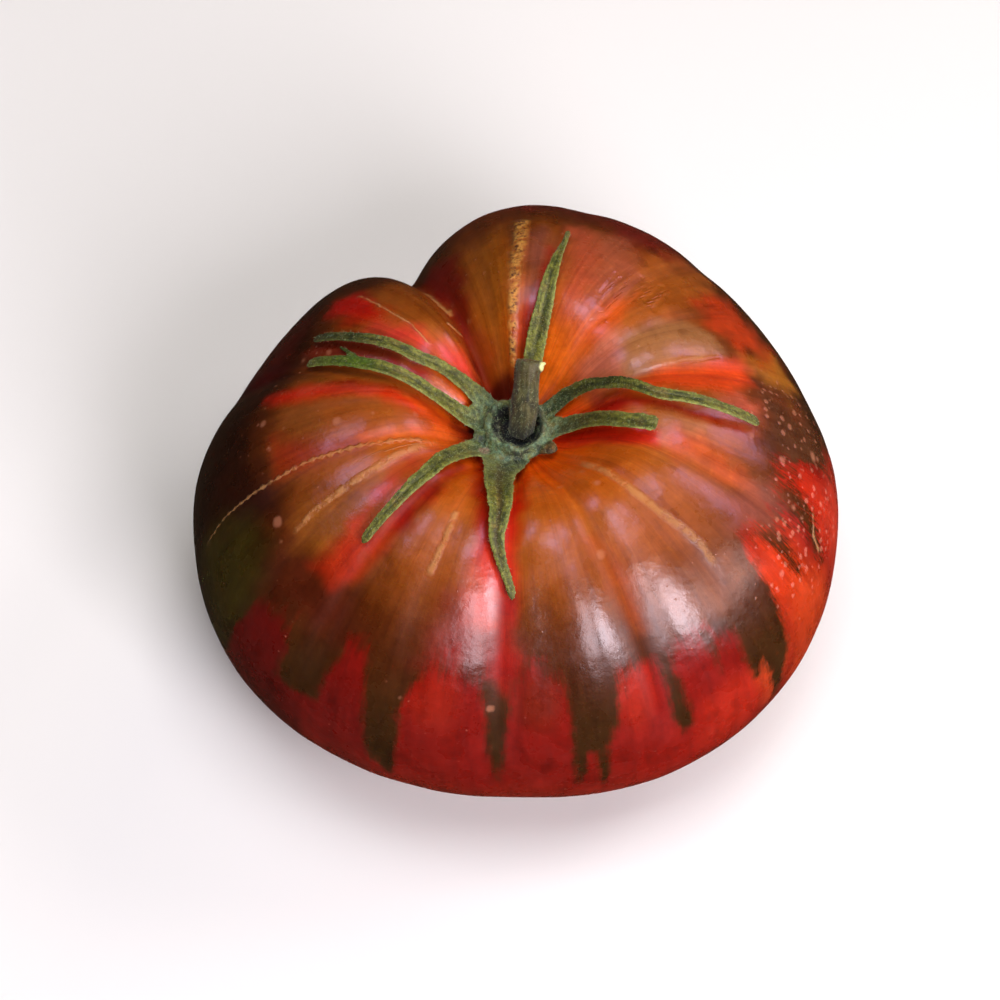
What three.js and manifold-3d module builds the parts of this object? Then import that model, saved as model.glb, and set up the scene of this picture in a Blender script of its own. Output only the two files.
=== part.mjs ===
// A ribbed beefsteak tomato as picked: the fruit, its green calyx and the stub of its stalk.
// Millimetres, +Z up. The fruit stands on its own flat underside at z = 0, and the origin is
// the middle of its footprint there. Azimuths are degrees, anticlockwise from +X seen from above.
import * as THREE from 'three';
import { mergeVertices } from 'three/addons/utils/BufferGeometryUtils.js';
import Module from 'manifold-3d';

// Driving dimensions of the fruit.
const EQUATOR_HEIGHT = 31;
const LOWER_DEPTH = 31.7; // from the equator down to where the underside would close: the last bit is flat
const MIDDLE_CROWN = 37; // height of the undented crown over the equator, at the axis
const CROWN_EVENS = { from: 0.5, to: 0.1 }; // shares of the radius between which the crowns meet that height
const ROUNDNESS = 2.25; // 2 is an ellipse, more is squarer shouldered
const CAVITY = { depth: 15, radius: 14.5, steepness: 2.5 }; // the dent that the stalk grows from
// Equatorial radius and crown height every 30 degrees of azimuth, from +X.
const STATION_STEP = 30;
const STATIONS = [
  { radius: 52.9, crown: 36.5 },
  { radius: 50.8, crown: 37.0 },
  { radius: 52.6, crown: 38.5 },
  { radius: 53.8, crown: 39.0 },
  { radius: 50.6, crown: 37.0 },
  { radius: 49.2, crown: 35.6 },
  { radius: 53.3, crown: 36.5 },
  { radius: 54.0, crown: 36.5 },
  { radius: 51.8, crown: 36.5 },
  { radius: 50.0, crown: 36.5 },
  { radius: 52.3, crown: 36.5 },
  { radius: 53.6, crown: 36.5 },
];
// Furrows between the ribs: azimuth, depth, half width in degrees on either side of the line, and
// the latitude below which the furrow has run out. The first one is the deep cleft at the back.
const FURROWS = [
  { at: 117, depth: 9.0, before: 11, after: 7, lowest: -30 },
  { at: 133, depth: 0.7, before: 5, after: 5, lowest: 30 },
  { at: 162, depth: 2.4, before: 8, after: 8, lowest: 10 },
  { at: 180, depth: 0.5, before: 5, after: 5, lowest: 30 },
  { at: 197, depth: 1.0, before: 6, after: 6, lowest: 10 },
  { at: 211, depth: 0.9, before: 6, after: 6, lowest: 15 },
  { at: 228, depth: 2.2, before: 7, after: 7, lowest: 10 },
  { at: 245, depth: 0.8, before: 6, after: 6, lowest: 25 },
  { at: 267, depth: 2.8, before: 7, after: 7, lowest: 0 },
  { at: 297, depth: 2.4, before: 7, after: 7, lowest: 0 },
  { at: 318, depth: 1.2, before: 7, after: 7, lowest: 28 },
  { at: 340, depth: 1.8, before: 8, after: 8, lowest: 15 },
  { at: 15, depth: 2.2, before: 6, after: 6, lowest: 20 },
  { at: 33, depth: 0.6, before: 5, after: 5, lowest: 30 },
  { at: 50, depth: 1.2, before: 7, after: 7, lowest: 10 },
  { at: 76, depth: 1.6, before: 6, after: 6, lowest: 25 },
  { at: 91, depth: 0.5, before: 4, after: 4, lowest: 30 },
  { at: 103, depth: 1.0, before: 6, after: 6, lowest: 25 },
];
const FURROW_SOFTNESS = 0.3; // rounding of a furrow's floor, as a share of its half width
const FURROW_FADES_OVER = 55; // degrees of latitude over which a furrow runs out
const FURROW_STARTS_AT = 5; // mm from the axis, where a furrow has half its depth
const LOWEST_RING = -78; // this ring of the mesh lies on the flat spot
const HIGHEST_RING = 87;
const RINGS = 37;
const MERIDIANS = 108;

// The calyx: a thick shallow cup round the stalk, and the sepals that grow from its rim.
const SKIN_GAP = 0.35; // between two pieces that lie on each other
const CUP = {
  floorRadius: 2.9,
  innerRadius: 4.0,
  outerRadius: 4.8,
  skirtRadius: 6.1,
  belly: 0.45, // how far the underside has risen to the skirt's height at the floor's radius
  thickness: 1.1,
  skirtThickness: 0.8,
  rimHeight: 4.7, // over the underside
};
const CUP_SIDES = 36;
// Each sepal leaves the cup at one azimuth and turns to another over a share of its length. Its full
// length is where its point would be, as a radius in plan, and one is snapped off short of that.
// Flare is how much wider it is where it joins the cup, lift is how far it arches clear of the skin,
// and tip is the share of its width left at its end.
const SEPALS = [
  { from: 138, to: 154, turn: 0.45, full: 36.5, reach: 36.5, width: 2.3, flare: 0.5, lift: 1.7, tip: 0.75 },
  { from: 172, to: 162, turn: 1, full: 35.5, reach: 35.5, width: 2.5, flare: 0.5, lift: 1.6, tip: 0.75 },
  { from: 212, to: 224.5, turn: 0.55, full: 33.5, reach: 33.5, width: 2.9, flare: 0.4, lift: 1.0, tip: 0.55 },
  { from: 251, to: 262, turn: 0.6, full: 32.5, reach: 32.5, width: 4.8, flare: 0.5, lift: 1.0, tip: 0.3, hook: 6 },
  { from: 357, to: 343, turn: 0.42, full: 37.0, reach: 22.3, width: 2.8, flare: 0.2, lift: 2.8, tip: 0.9 },
  { from: 36, to: -1.8, turn: 0.55, full: 38.0, reach: 38.0, width: 2.3, flare: 0.3, lift: 2.0, tip: 0.8 },
  { from: 78, to: 76, turn: 0.45, full: 35.0, reach: 35.0, width: 3.2, flare: -0.2, lift: 1.0, tip: 0.25 },
];
const SEPAL_ROOT = 4.5; // plan radius of its first section, inside the cup's rim
const SEPAL_THICKNESS = 0.8; // along the midrib
const SEPAL_EDGE_SHARE = 0.64; // of that thickness, at the edges
const SEPAL_SECTIONS = 18;
const SEPAL_CHANNEL = 0.16; // how far the edges curl up over the midrib, as a share of the width
const SEPAL_FLARE_UNTIL = 0.28; // share of the length that the widening at the cup takes
const SEPAL_TAPER = { from: 0.2, power: 1.1 };
const SEPAL_ARCH = 0.7; // below 1, the arch is flatter on top than half a sine wave
const HOOK_FROM = 0.7; // share of the length where a hooked tip starts to turn
const SEPAL_CLEARANCE = 0.1; // more than the gap, for the facets of the skin between sections

// The stalk's stub: it rises from the cup, leans back and ends at its swollen joint.
const STALK_FOOT = new THREE.Vector3(0.4, 0, 55.4);
const STALK_BEND = new THREE.Vector3(1.0, 0.6, 62.4);
const STALK_END = new THREE.Vector3(1.6, 5.8, 66.6);
const STALK_RADII = [2.1, 2.15, 2.2, 2.3, 2.35, 2.3, 2.15, 2.05, 2.1, 2.2, 2.05];
const STALK_SIDES = 14;
const STALK_SCAR_DEPTH = 0.5; // the broken end is a little hollow

// Colours, as the skin, the leaves and the stalk look from a step away.
const skinMaterial = new THREE.MeshStandardMaterial({ color: 0x8e2a10, roughness: 0.25, metalness: 0 });
const leafMaterial = new THREE.MeshStandardMaterial({ color: 0x4d6b33, roughness: 0.75, metalness: 0 });
const stalkMaterial = new THREE.MeshStandardMaterial({ color: 0x5d6140, roughness: 0.8, metalness: 0 });

const radians = THREE.MathUtils.degToRad;

function easeBetween(low, high, x) {
  const t = THREE.MathUtils.clamp((x - low) / (high - low), 0, 1);
  return t * t * (3 - 2 * t);
}

// Smooth closed curve through the stations, for their radius or their crown.
function aroundStations(key, azimuth) {
  const count = STATIONS.length;
  const place = THREE.MathUtils.euclideanModulo(azimuth, 360) / STATION_STEP;
  const i = Math.floor(place);
  const t = place - i;
  const [a, b, c, d] = [-1, 0, 1, 2].map((k) => STATIONS[(i + k + count) % count][key]);
  return b + 0.5 * t * (c - a + t * (2 * a - 5 * b + 4 * c - d + t * (3 * (b - c) + d - a)));
}

// How deep the furrows cut at this azimuth and latitude.
function furrowDepth(azimuth, latitude) {
  let depth = 0;
  for (const furrow of FURROWS) {
    const off = THREE.MathUtils.euclideanModulo(azimuth - furrow.at + 180, 360) - 180;
    const share = off / (off > 0 ? furrow.after : furrow.before);
    const falloff = Math.exp(FURROW_SOFTNESS - Math.hypot(share, FURROW_SOFTNESS));
    const start = furrow.lowest - 20;
    depth += furrow.depth * falloff * easeBetween(start, start + FURROW_FADES_OVER, latitude);
  }
  return depth;
}

// A point of the skin. Latitude runs from -90 under the fruit to 90 at the floor of the cavity.
function skinPoint(azimuth, latitude) {
  const radius = aroundStations('radius', azimuth);
  const power = 2 / ROUNDNESS;
  const cos = Math.cos(radians(latitude));
  const sin = Math.sin(radians(latitude));
  const out = Math.pow(Math.abs(cos), power);
  const up = Math.sign(sin) * Math.pow(Math.abs(sin), power);
  const crownHere = aroundStations('crown', azimuth);
  const crown = MIDDLE_CROWN + (crownHere - MIDDLE_CROWN) * easeBetween(CROWN_EVENS.to, CROWN_EVENS.from, out);
  const half = latitude > 0 ? crown : LOWER_DEPTH;
  let r = radius * out;
  let z = EQUATOR_HEIGHT + half * up;
  const normal = new THREE.Vector2(
    Math.pow(Math.abs(cos), 2 - power) / radius,
    (Math.sign(sin) * Math.pow(Math.abs(sin), 2 - power)) / half,
  ).normalize();
  const cut = (furrowDepth(azimuth, latitude) * r) / (r + FURROW_STARTS_AT);
  if (latitude > 0) z -= CAVITY.depth * Math.exp(-Math.pow(r / CAVITY.radius, CAVITY.steepness));
  r -= cut * normal.x;
  z = Math.max(z - cut * normal.y, 0);
  return new THREE.Vector3(r * Math.cos(radians(azimuth)), r * Math.sin(radians(azimuth)), z);
}

// Height of the upper skin over a place in plan, found by halving the latitude.
function skinHeight(azimuth, planRadius) {
  let low = 5;
  let high = 90;
  for (let i = 0; i < 30; i++) {
    const middle = (low + high) / 2;
    const p = skinPoint(azimuth, middle);
    if (Math.hypot(p.x, p.y) > planRadius) low = middle;
    else high = middle;
  }
  return skinPoint(azimuth, (low + high) / 2).z;
}

// A closed solid through a stack of rings that all have the same number of points, closed at each
// end on a middle point. The rings turn anticlockwise seen from the last one.
function solidThroughRings(rings, firstMiddle, lastMiddle) {
  const sides = rings[0].length;
  const points = rings.flat().concat([firstMiddle, lastMiddle]);
  const first = points.length - 2;
  const last = points.length - 1;
  const index = [];
  for (let i = 0; i < rings.length - 1; i++) {
    for (let j = 0; j < sides; j++) {
      const a = i * sides + j;
      const b = i * sides + ((j + 1) % sides);
      index.push(a, b, b + sides, a, b + sides, a + sides);
    }
  }
  const top = (rings.length - 1) * sides;
  for (let j = 0; j < sides; j++) {
    const next = (j + 1) % sides;
    index.push(first, next, j, last, top + j, top + next);
  }
  const geometry = new THREE.BufferGeometry().setFromPoints(points);
  geometry.setIndex(index);
  geometry.computeVertexNormals();
  return geometry;
}

function middleOf(ring) {
  return ring.reduce((sum, p) => sum.add(p), new THREE.Vector3()).divideScalar(ring.length);
}

// The fruit: rings of latitude from the flat spot up over the shoulders and down into the cavity.
function fruitGeometry() {
  const rings = [];
  for (let i = 0; i < RINGS; i++) {
    const latitude = THREE.MathUtils.lerp(LOWEST_RING, HIGHEST_RING, i / (RINGS - 1));
    const ring = [];
    for (let j = 0; j < MERIDIANS; j++) ring.push(skinPoint((j * 360) / MERIDIANS, latitude));
    rings.push(ring);
  }
  return solidThroughRings(rings, new THREE.Vector3(0, 0, 0), skinPoint(0, 90));
}

// The cup of the calyx, turned round the axis, with its underside just over the cavity's floor.
function cupGeometry() {
  const floor = skinPoint(0, 90).z + SKIN_GAP;
  const skins = Array.from({ length: CUP_SIDES }, (_, i) => skinHeight((i * 360) / CUP_SIDES, CUP.skirtRadius));
  const skirt = Math.max(...skins) + SKIN_GAP;
  const profile = [
    new THREE.Vector2(0, floor),
    new THREE.Vector2(CUP.floorRadius, THREE.MathUtils.lerp(floor, skirt, CUP.belly)),
    new THREE.Vector2(CUP.skirtRadius, skirt),
    new THREE.Vector2(CUP.skirtRadius, skirt + CUP.skirtThickness),
    new THREE.Vector2(CUP.outerRadius, floor + CUP.rimHeight),
    new THREE.Vector2(CUP.innerRadius, floor + CUP.rimHeight),
    new THREE.Vector2(CUP.floorRadius, floor + CUP.thickness),
    new THREE.Vector2(0, floor + CUP.thickness),
  ];
  return new THREE.LatheGeometry(profile, CUP_SIDES).rotateX(Math.PI / 2);
}

// Share of a sepal's width that is left at a share of its full length: it flares where it joins
// the cup, keeps most of its width, and narrows to its tip.
function sepalTaper(share, { flare, tip }) {
  const widening = 1 + flare * (1 - easeBetween(0, SEPAL_FLARE_UNTIL, share));
  return widening * (1 - (1 - tip) * Math.pow(easeBetween(SEPAL_TAPER.from, 1, share), SEPAL_TAPER.power));
}

// One sepal: channelled sections, six points each, strung along an arch over the skin.
function sepalGeometry(sepal) {
  const rings = [];
  for (let i = 0; i < SEPAL_SECTIONS; i++) {
    const plan = THREE.MathUtils.lerp(SEPAL_ROOT, sepal.reach, i / (SEPAL_SECTIONS - 1));
    const share = (plan - SEPAL_ROOT) / (sepal.full - SEPAL_ROOT);
    const hook = (sepal.hook || 0) * easeBetween(HOOK_FROM, 1, share);
    const azimuth = sepal.from + (sepal.to - sepal.from) * easeBetween(0, sepal.turn, share) + hook;
    const half = (sepal.width / 2) * sepalTaper(share, sepal);
    const across = new THREE.Vector3(-Math.sin(radians(azimuth)), Math.cos(radians(azimuth)), 0);
    const swing = THREE.MathUtils.radToDeg(half / plan);
    const skin = Math.max(...[-swing, 0, swing].map((a) => skinHeight(azimuth + a, plan)));
    const lift = sepal.lift * Math.pow(Math.sin(Math.PI * Math.min(share, 1)), SEPAL_ARCH);
    const height = skin + SKIN_GAP + SEPAL_CLEARANCE + SEPAL_THICKNESS / 2 + lift;
    const outwards = new THREE.Vector3(Math.cos(radians(azimuth)), Math.sin(radians(azimuth)), 0);
    const spine = outwards.multiplyScalar(plan).setZ(height);
    const curl = SEPAL_CHANNEL * half * 2;
    const middle = SEPAL_THICKNESS / 2;
    const edge = middle * SEPAL_EDGE_SHARE;
    const section = [
      [half, curl + edge],
      [0, middle],
      [-half, curl + edge],
      [-half, curl - edge],
      [0, -middle],
      [half, curl - edge],
    ];
    const ring = section.map(([side, raise]) =>
      spine.clone().addScaledVector(across, side).add(new THREE.Vector3(0, 0, raise)),
    );
    rings.push(ring);
  }
  return solidThroughRings(rings, middleOf(rings[0]), middleOf(rings[rings.length - 1]));
}

// The stalk: round sections square to a bent line, closed by the hollow scar at its end.
function stalkGeometry() {
  const line = new THREE.QuadraticBezierCurve3(STALK_FOOT, STALK_BEND, STALK_END);
  const count = STALK_RADII.length;
  const across = new THREE.Vector3(1, 0, 0);
  const rings = STALK_RADII.map((radius, i) => {
    const tangent = line.getTangent(i / (count - 1));
    const u = across.clone().addScaledVector(tangent, -across.dot(tangent)).normalize();
    const v = tangent.clone().cross(u);
    const centre = line.getPoint(i / (count - 1));
    return Array.from({ length: STALK_SIDES }, (_, j) => {
      const turn = (j * 2 * Math.PI) / STALK_SIDES;
      const side = u.clone().multiplyScalar(Math.cos(turn)).addScaledVector(v, Math.sin(turn));
      return centre.clone().addScaledVector(side, radius);
    });
  });
  const inwards = line.getTangent(1).multiplyScalar(-STALK_SCAR_DEPTH);
  return solidThroughRings(rings, line.getPoint(0), line.getPoint(1).add(inwards));
}

// Joins overlapping closed geometries into one solid.
const wasm = await Module();
wasm.setup();

function solidOf(geometry) {
  const bare = geometry.clone();
  bare.deleteAttribute('normal');
  bare.deleteAttribute('uv');
  const merged = mergeVertices(bare, 1e-4);
  const vertProperties = new Float32Array(merged.attributes.position.array);
  const triVerts = new Uint32Array(merged.index.array);
  return new wasm.Manifold(new wasm.Mesh({ numProp: 3, vertProperties, triVerts }));
}

function fused(geometries) {
  const solid = geometries.map(solidOf).reduce((whole, piece) => whole.add(piece));
  const mesh = solid.getMesh();
  const geometry = new THREE.BufferGeometry();
  geometry.setAttribute('position', new THREE.BufferAttribute(new Float32Array(mesh.vertProperties), 3));
  geometry.setIndex(new THREE.BufferAttribute(new Uint32Array(mesh.triVerts), 1));
  geometry.computeVertexNormals();
  return geometry;
}

function named(name, geometry, material) {
  const mesh = new THREE.Mesh(geometry, material);
  mesh.name = name;
  return mesh;
}

const fruit = named('fruit', fruitGeometry(), skinMaterial);
const calyx = named('calyx', fused([cupGeometry(), ...SEPALS.map(sepalGeometry)]), leafMaterial);
const stalk = named('stalk', stalkGeometry(), stalkMaterial);

const tomato = new THREE.Group();
tomato.add(fruit, calyx, stalk);

// The origin is the middle of the fruit's footprint.
fruit.geometry.computeBoundingBox();
const middle = fruit.geometry.boundingBox.getCenter(new THREE.Vector3());
tomato.position.set(-middle.x, -middle.y, 0);

export default tomato;
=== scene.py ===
import itertools
import math

import bpy
import numpy as np
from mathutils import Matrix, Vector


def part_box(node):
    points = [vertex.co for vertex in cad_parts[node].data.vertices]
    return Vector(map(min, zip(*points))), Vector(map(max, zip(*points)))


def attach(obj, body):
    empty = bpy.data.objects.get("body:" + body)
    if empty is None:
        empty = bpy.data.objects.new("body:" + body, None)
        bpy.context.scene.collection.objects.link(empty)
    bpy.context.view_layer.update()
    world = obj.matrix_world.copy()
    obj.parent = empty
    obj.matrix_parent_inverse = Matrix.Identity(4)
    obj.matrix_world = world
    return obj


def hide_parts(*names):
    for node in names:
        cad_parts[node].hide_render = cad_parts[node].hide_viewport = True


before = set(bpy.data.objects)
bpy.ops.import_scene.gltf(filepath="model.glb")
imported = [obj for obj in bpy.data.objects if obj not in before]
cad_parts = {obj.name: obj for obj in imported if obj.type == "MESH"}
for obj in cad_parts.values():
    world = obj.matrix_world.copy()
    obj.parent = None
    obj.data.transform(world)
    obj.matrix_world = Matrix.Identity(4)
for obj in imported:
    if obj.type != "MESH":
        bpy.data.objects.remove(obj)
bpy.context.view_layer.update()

mm = 0.001

# The camera looks down on the tomato at the photograph's angle, with the deep cleft at the
# back. It is far off with a long lens, because near and far ribs are almost one size there.
camera_elevation = math.radians(60.0)
camera_distance = 480 * mm
aim = (-2.6 * mm, -1.7 * mm, 33 * mm)
camera_data = bpy.data.cameras.new("camera")
camera_data.lens = 104.65
camera_data.sensor_width = 36.0
camera = bpy.data.objects.new("camera", camera_data)
camera.location = (
    aim[0],
    aim[1] - camera_distance * math.cos(camera_elevation),
    aim[2] + camera_distance * math.sin(camera_elevation),
)
camera.rotation_euler = (math.pi / 2 - camera_elevation, 0.0, 0.0)
bpy.context.collection.objects.link(camera)
bpy.context.scene.camera = camera


# The studio: a pale matt floor, a big dim softbox overhead, a window to the front right, and
# weaker lights at the right and behind. The room stays dark, so the left side falls off.
def shader_of(material):
    material.use_nodes = True
    return material.node_tree.nodes["Principled BSDF"]


floor_size = 4.0
floor_mesh = bpy.data.meshes.new("floor")
corner = floor_size / 2
floor_mesh.from_pydata(
    [(-corner, -corner, 0), (corner, -corner, 0), (corner, corner, 0), (-corner, corner, 0)],
    [], [(0, 1, 2, 3)])
floor = bpy.data.objects.new("floor", floor_mesh)
bpy.context.collection.objects.link(floor)
floor_paint = bpy.data.materials.new("floor_paint")
floor_shader = shader_of(floor_paint)
floor_shader.inputs["Base Color"].default_value = (0.88, 0.88, 0.88, 1)
floor_shader.inputs["Roughness"].default_value = 0.9
floor_shader.inputs["Specular IOR Level"].default_value = 0.1
floor_mesh.materials.append(floor_paint)
floor.visible_glossy = False

world = bpy.data.worlds.new("room")
bpy.context.scene.world = world
world.use_nodes = True
room = world.node_tree.nodes["Background"]
room.inputs["Color"].default_value = (1.0, 0.70, 0.44, 1)
room.inputs["Strength"].default_value = 0.04
bpy.context.scene.view_settings.view_transform = "Standard"


lamp_aim_height = 0.04


def softbox(name, azimuth, elevation, distance, width, height, radiance, colour):
    """An area light that looks at the tomato from a compass direction, in degrees."""
    light = bpy.data.lights.new(name, "AREA")
    light.shape = "RECTANGLE"
    light.size = width
    light.size_y = height
    light.energy = radiance * math.pi * width * height
    light.color = colour
    lamp = bpy.data.objects.new(name, light)
    a = math.radians(azimuth)
    e = math.radians(elevation)
    lamp.location = (
        distance * math.cos(e) * math.cos(a),
        distance * math.cos(e) * math.sin(a),
        lamp_aim_height + distance * math.sin(e),
    )
    lamp.rotation_euler = (math.pi / 2 - e, 0.0, a + math.pi / 2)
    bpy.context.collection.objects.link(lamp)
    return lamp


for name, azimuth, elevation, distance, width, height, radiance, colour in (
    ("overhead", 285, 84, 0.60, 0.34, 0.28, 7.2, (1.0, 0.98, 1.0)),
    ("window", 301, 36, 1.0, 0.44, 0.56, 12.5, (1.0, 0.94, 0.98)),
    ("side_light", 20, 42, 1.0, 0.30, 0.30, 7, (1.0, 0.94, 0.92)),
    ("back_light", 62, 34, 1.0, 0.40, 0.30, 3.6, (1.0, 0.84, 0.58)),
):
    lamp = softbox(name, azimuth, elevation, distance, width, height, radiance, colour)
    lamp.visible_glossy = False
# what the skin mirrors: two panes of the window with its frame between, and small faint glints
mirrored_distance = 0.60
for name, azimuth, elevation, width, height, radiance, colour in (
    ("left_pane", 285, 38, 0.16, 0.36, 17.0, (1.0, 0.86, 0.95)),
    ("right_pane", 315, 34, 0.17, 0.28, 29.0, (1.0, 0.88, 0.98)),
    ("low_glint", 343, 24, 0.20, 0.20, 7.0, (1.0, 0.82, 0.80)),
    ("left_glint", 157, 57, 0.20, 0.16, 8.5, (0.60, 0.56, 1.0)),
    ("right_glint", 27, 33, 0.20, 0.20, 8.0, (0.84, 0.56, 0.94)),
    ("top_glint", 280, 81, 0.18, 0.15, 13.0, (0.66, 0.60, 1.0)),
    ("high_glint", 20, 70, 0.14, 0.12, 12.0, (0.66, 0.58, 1.0)),
):
    glint = softbox(name, azimuth, elevation, mirrored_distance, width, height, radiance, colour)
    glint.visible_diffuse = False


# The fruit: one ripe, ribbed beefsteak, thin glossy skin over wet flesh. It grew as lobes round
# the stalk, with furrows between them and one deep cleft, and it ripened from the bottom up.
equator_height = 31.0
lower_depth = 31.7
middle_crown = 37.0
crown_evens = (0.1, 0.5)
roundness = 2.25
cavity_depth = 15.0
cavity_radius = 14.5
cavity_steepness = 2.5
station_step = 30
station_radii = [52.9, 50.8, 52.6, 53.8, 50.6, 49.2, 53.3, 54.0, 51.8, 50.0, 52.3, 53.6]
station_crowns = [36.5, 37.0, 38.5, 39.0, 37.0, 35.6, 36.5, 36.5, 36.5, 36.5, 36.5, 36.5]
# azimuth, depth, half width before and after it in degrees, latitude where it has run out
furrows = [
    (117, 9.0, 11, 7, -30), (133, 0.7, 5, 5, 30), (162, 2.4, 8, 8, 10), (180, 0.5, 5, 5, 30),
    (197, 1.0, 6, 6, 10), (211, 0.9, 6, 6, 15), (228, 2.2, 7, 7, 10), (245, 0.8, 6, 6, 25),
    (267, 2.8, 7, 7, 0), (297, 2.4, 7, 7, 0), (318, 1.2, 7, 7, 28), (340, 1.8, 8, 8, 15),
    (15, 2.2, 6, 6, 20), (33, 0.6, 5, 5, 30), (50, 1.2, 7, 7, 10), (76, 1.6, 6, 6, 25),
    (91, 0.5, 4, 4, 30), (103, 1.0, 6, 6, 25),
]
furrow_softness = 0.3
furrow_fades_over = 55
furrow_starts_at = 5.0


def ease(low, high, x):
    t = np.clip((x - low) / (high - low), 0, 1)
    return t * t * (3 - 2 * t)


def turn_between(azimuth, other):
    return (np.asarray(azimuth) - other + 180) % 360 - 180


def around_stations(values, azimuth):
    """The closed smooth curve through one value for each station."""
    place = (np.asarray(azimuth, float) % 360) / station_step
    i = np.floor(place).astype(int)
    t = place - i
    ring = np.asarray(values, float)
    a, b, c, d = (ring[(i + k) % len(ring)] for k in (-1, 0, 1, 2))
    return b + 0.5 * t * (c - a + t * (2 * a - 5 * b + 4 * c - d + t * (3 * (b - c) + d - a)))


def skin_point(azimuth, latitude):
    """The skin in millimetres from the fruit's axis, at arrays of azimuth and latitude in degrees."""
    azimuth, latitude = np.broadcast_arrays(np.asarray(azimuth, float), np.asarray(latitude, float))
    radius = around_stations(station_radii, azimuth)
    power = 2 / roundness
    cos = np.cos(np.radians(latitude))
    sin = np.sin(np.radians(latitude))
    out = np.abs(cos) ** power
    up = np.sign(sin) * np.abs(sin) ** power
    crown = around_stations(station_crowns, azimuth)
    crown = middle_crown + (crown - middle_crown) * ease(*crown_evens, out)
    half = np.where(latitude > 0, crown, lower_depth)
    r = radius * out
    z = equator_height + half * up
    normal_out = np.abs(cos) ** (2 - power) / radius
    normal_up = np.sign(sin) * np.abs(sin) ** (2 - power) / half
    length = np.hypot(normal_out, normal_up)
    cut = np.zeros_like(r)
    for at, depth, before, after, lowest in furrows:
        off = turn_between(azimuth, at)
        share = off / np.where(off > 0, after, before)
        falloff = np.exp(furrow_softness - np.hypot(share, furrow_softness))
        cut += depth * falloff * ease(lowest - 20, lowest - 20 + furrow_fades_over, latitude)
    cut *= r / (r + furrow_starts_at)
    z = z - cavity_depth * np.exp(-((r / cavity_radius) ** cavity_steepness)) * (latitude > 0)
    r = r - cut * normal_out / length
    z = np.maximum(z - cut * normal_up / length, 0)
    return np.stack([r * np.cos(np.radians(azimuth)), r * np.sin(np.radians(azimuth)), z], -1)


def field(points, size, seed):
    """Smooth random values from -1 to 1 at points, with features of about that size."""
    place = np.asarray(points) / size + 100
    cell = np.floor(place).astype(np.int64)
    share = place - cell
    share = share * share * (3 - 2 * share)
    total = 0
    for corner in itertools.product((0, 1), repeat=3):
        x, y, z = (cell[..., k] + corner[k] for k in range(3))
        mixed = (x * 73856093) ^ (y * 19349663) ^ (z * 83492791) ^ (seed * 2654435)
        mixed = ((mixed ^ (mixed >> 13)) * 1274126177) & 0x7FFFFFFF
        mixed = ((mixed ^ (mixed >> 15)) * 461845907) & 0x7FFFFFFF
        weight = np.prod([share[..., k] if corner[k] else 1 - share[..., k] for k in range(3)], axis=0)
        total = total + weight * (mixed / 0x3FFFFFFF - 1)
    return total


meridians = 440
lowest_ring = -78.0
highest_ring = 88.5
finer_above = -20
coarse_step = 1.7
fine_step = 0.62
latitude = np.concatenate([
    np.arange(lowest_ring, finer_above, coarse_step),
    np.arange(finer_above, highest_ring, fine_step),
    [highest_ring],
])
azimuth = np.arange(meridians) * 360 / meridians
azimuth, latitude = np.meshgrid(azimuth, latitude)
skin = skin_point(azimuth, latitude)
axis_x = -(skin[..., 0].min() + skin[..., 0].max()) / 2
axis_y = -(skin[..., 1].min() + skin[..., 1].max()) / 2


def surface_normals(grid):
    """Unit normals of a closed grid of rings, pointing out."""
    along = np.gradient(grid, axis=0)
    round_it = np.roll(grid, -1, axis=1) - np.roll(grid, 1, axis=1)
    normals = np.cross(round_it, along)
    return normals / np.maximum(np.linalg.norm(normals, axis=-1, keepdims=True), 1e-12)


normals = surface_normals(skin)

# uneven growth, only inwards so that the fruit keeps its size
uneven_depth = 0.30
ripple_depth = 0.07
unevenness = 0.5 + 0.5 * field(skin, 9.0, 3)
ripple = 0.5 + 0.5 * field(skin * (1, 1, 0.6), 3.2, 5)
swell = uneven_depth * unevenness + ripple_depth * ripple
swell *= ease(lowest_ring, lowest_ring + 25, latitude)
# the rib right of the front sepal rises slowly, so its crest lies nearer to the next furrow
slow_side_depth = 1.0
slow_side = np.exp(-((turn_between(azimuth, 277) / 7.5) ** 2))
swell += slow_side_depth * slow_side * ease(5, 30, latitude) * (1 - ease(50, 66, latitude))
skin = skin - normals * swell[..., None]


def rgb(red, green, blue):
    """A colour seen as 0-255 screen values, as the linear light that shaders work in."""
    screen = np.array([red, green, blue]) / 255
    return np.where(screen < 0.04045, screen / 12.92, ((screen + 0.055) / 1.055) ** 2.4)


def through(stops, x):
    """Colours along a list of (place, colour)."""
    places = [stop[0] for stop in stops]
    colours = np.array([stop[1] for stop in stops])
    return np.stack([np.interp(x, places, colours[:, k]) for k in range(3)], -1)


# A plan of the skin seen from over the stalk, for drawing on: millimetres, nearly true to size.
plan_per_degree = 0.8


def on_plan(azimuth, latitude):
    out = plan_per_degree * (90 - np.asarray(latitude, float))
    angle = np.radians(np.asarray(azimuth, float))
    return np.stack([out * np.cos(angle), out * np.sin(angle)], -1)


plan = on_plan(azimuth, latitude)


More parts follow.
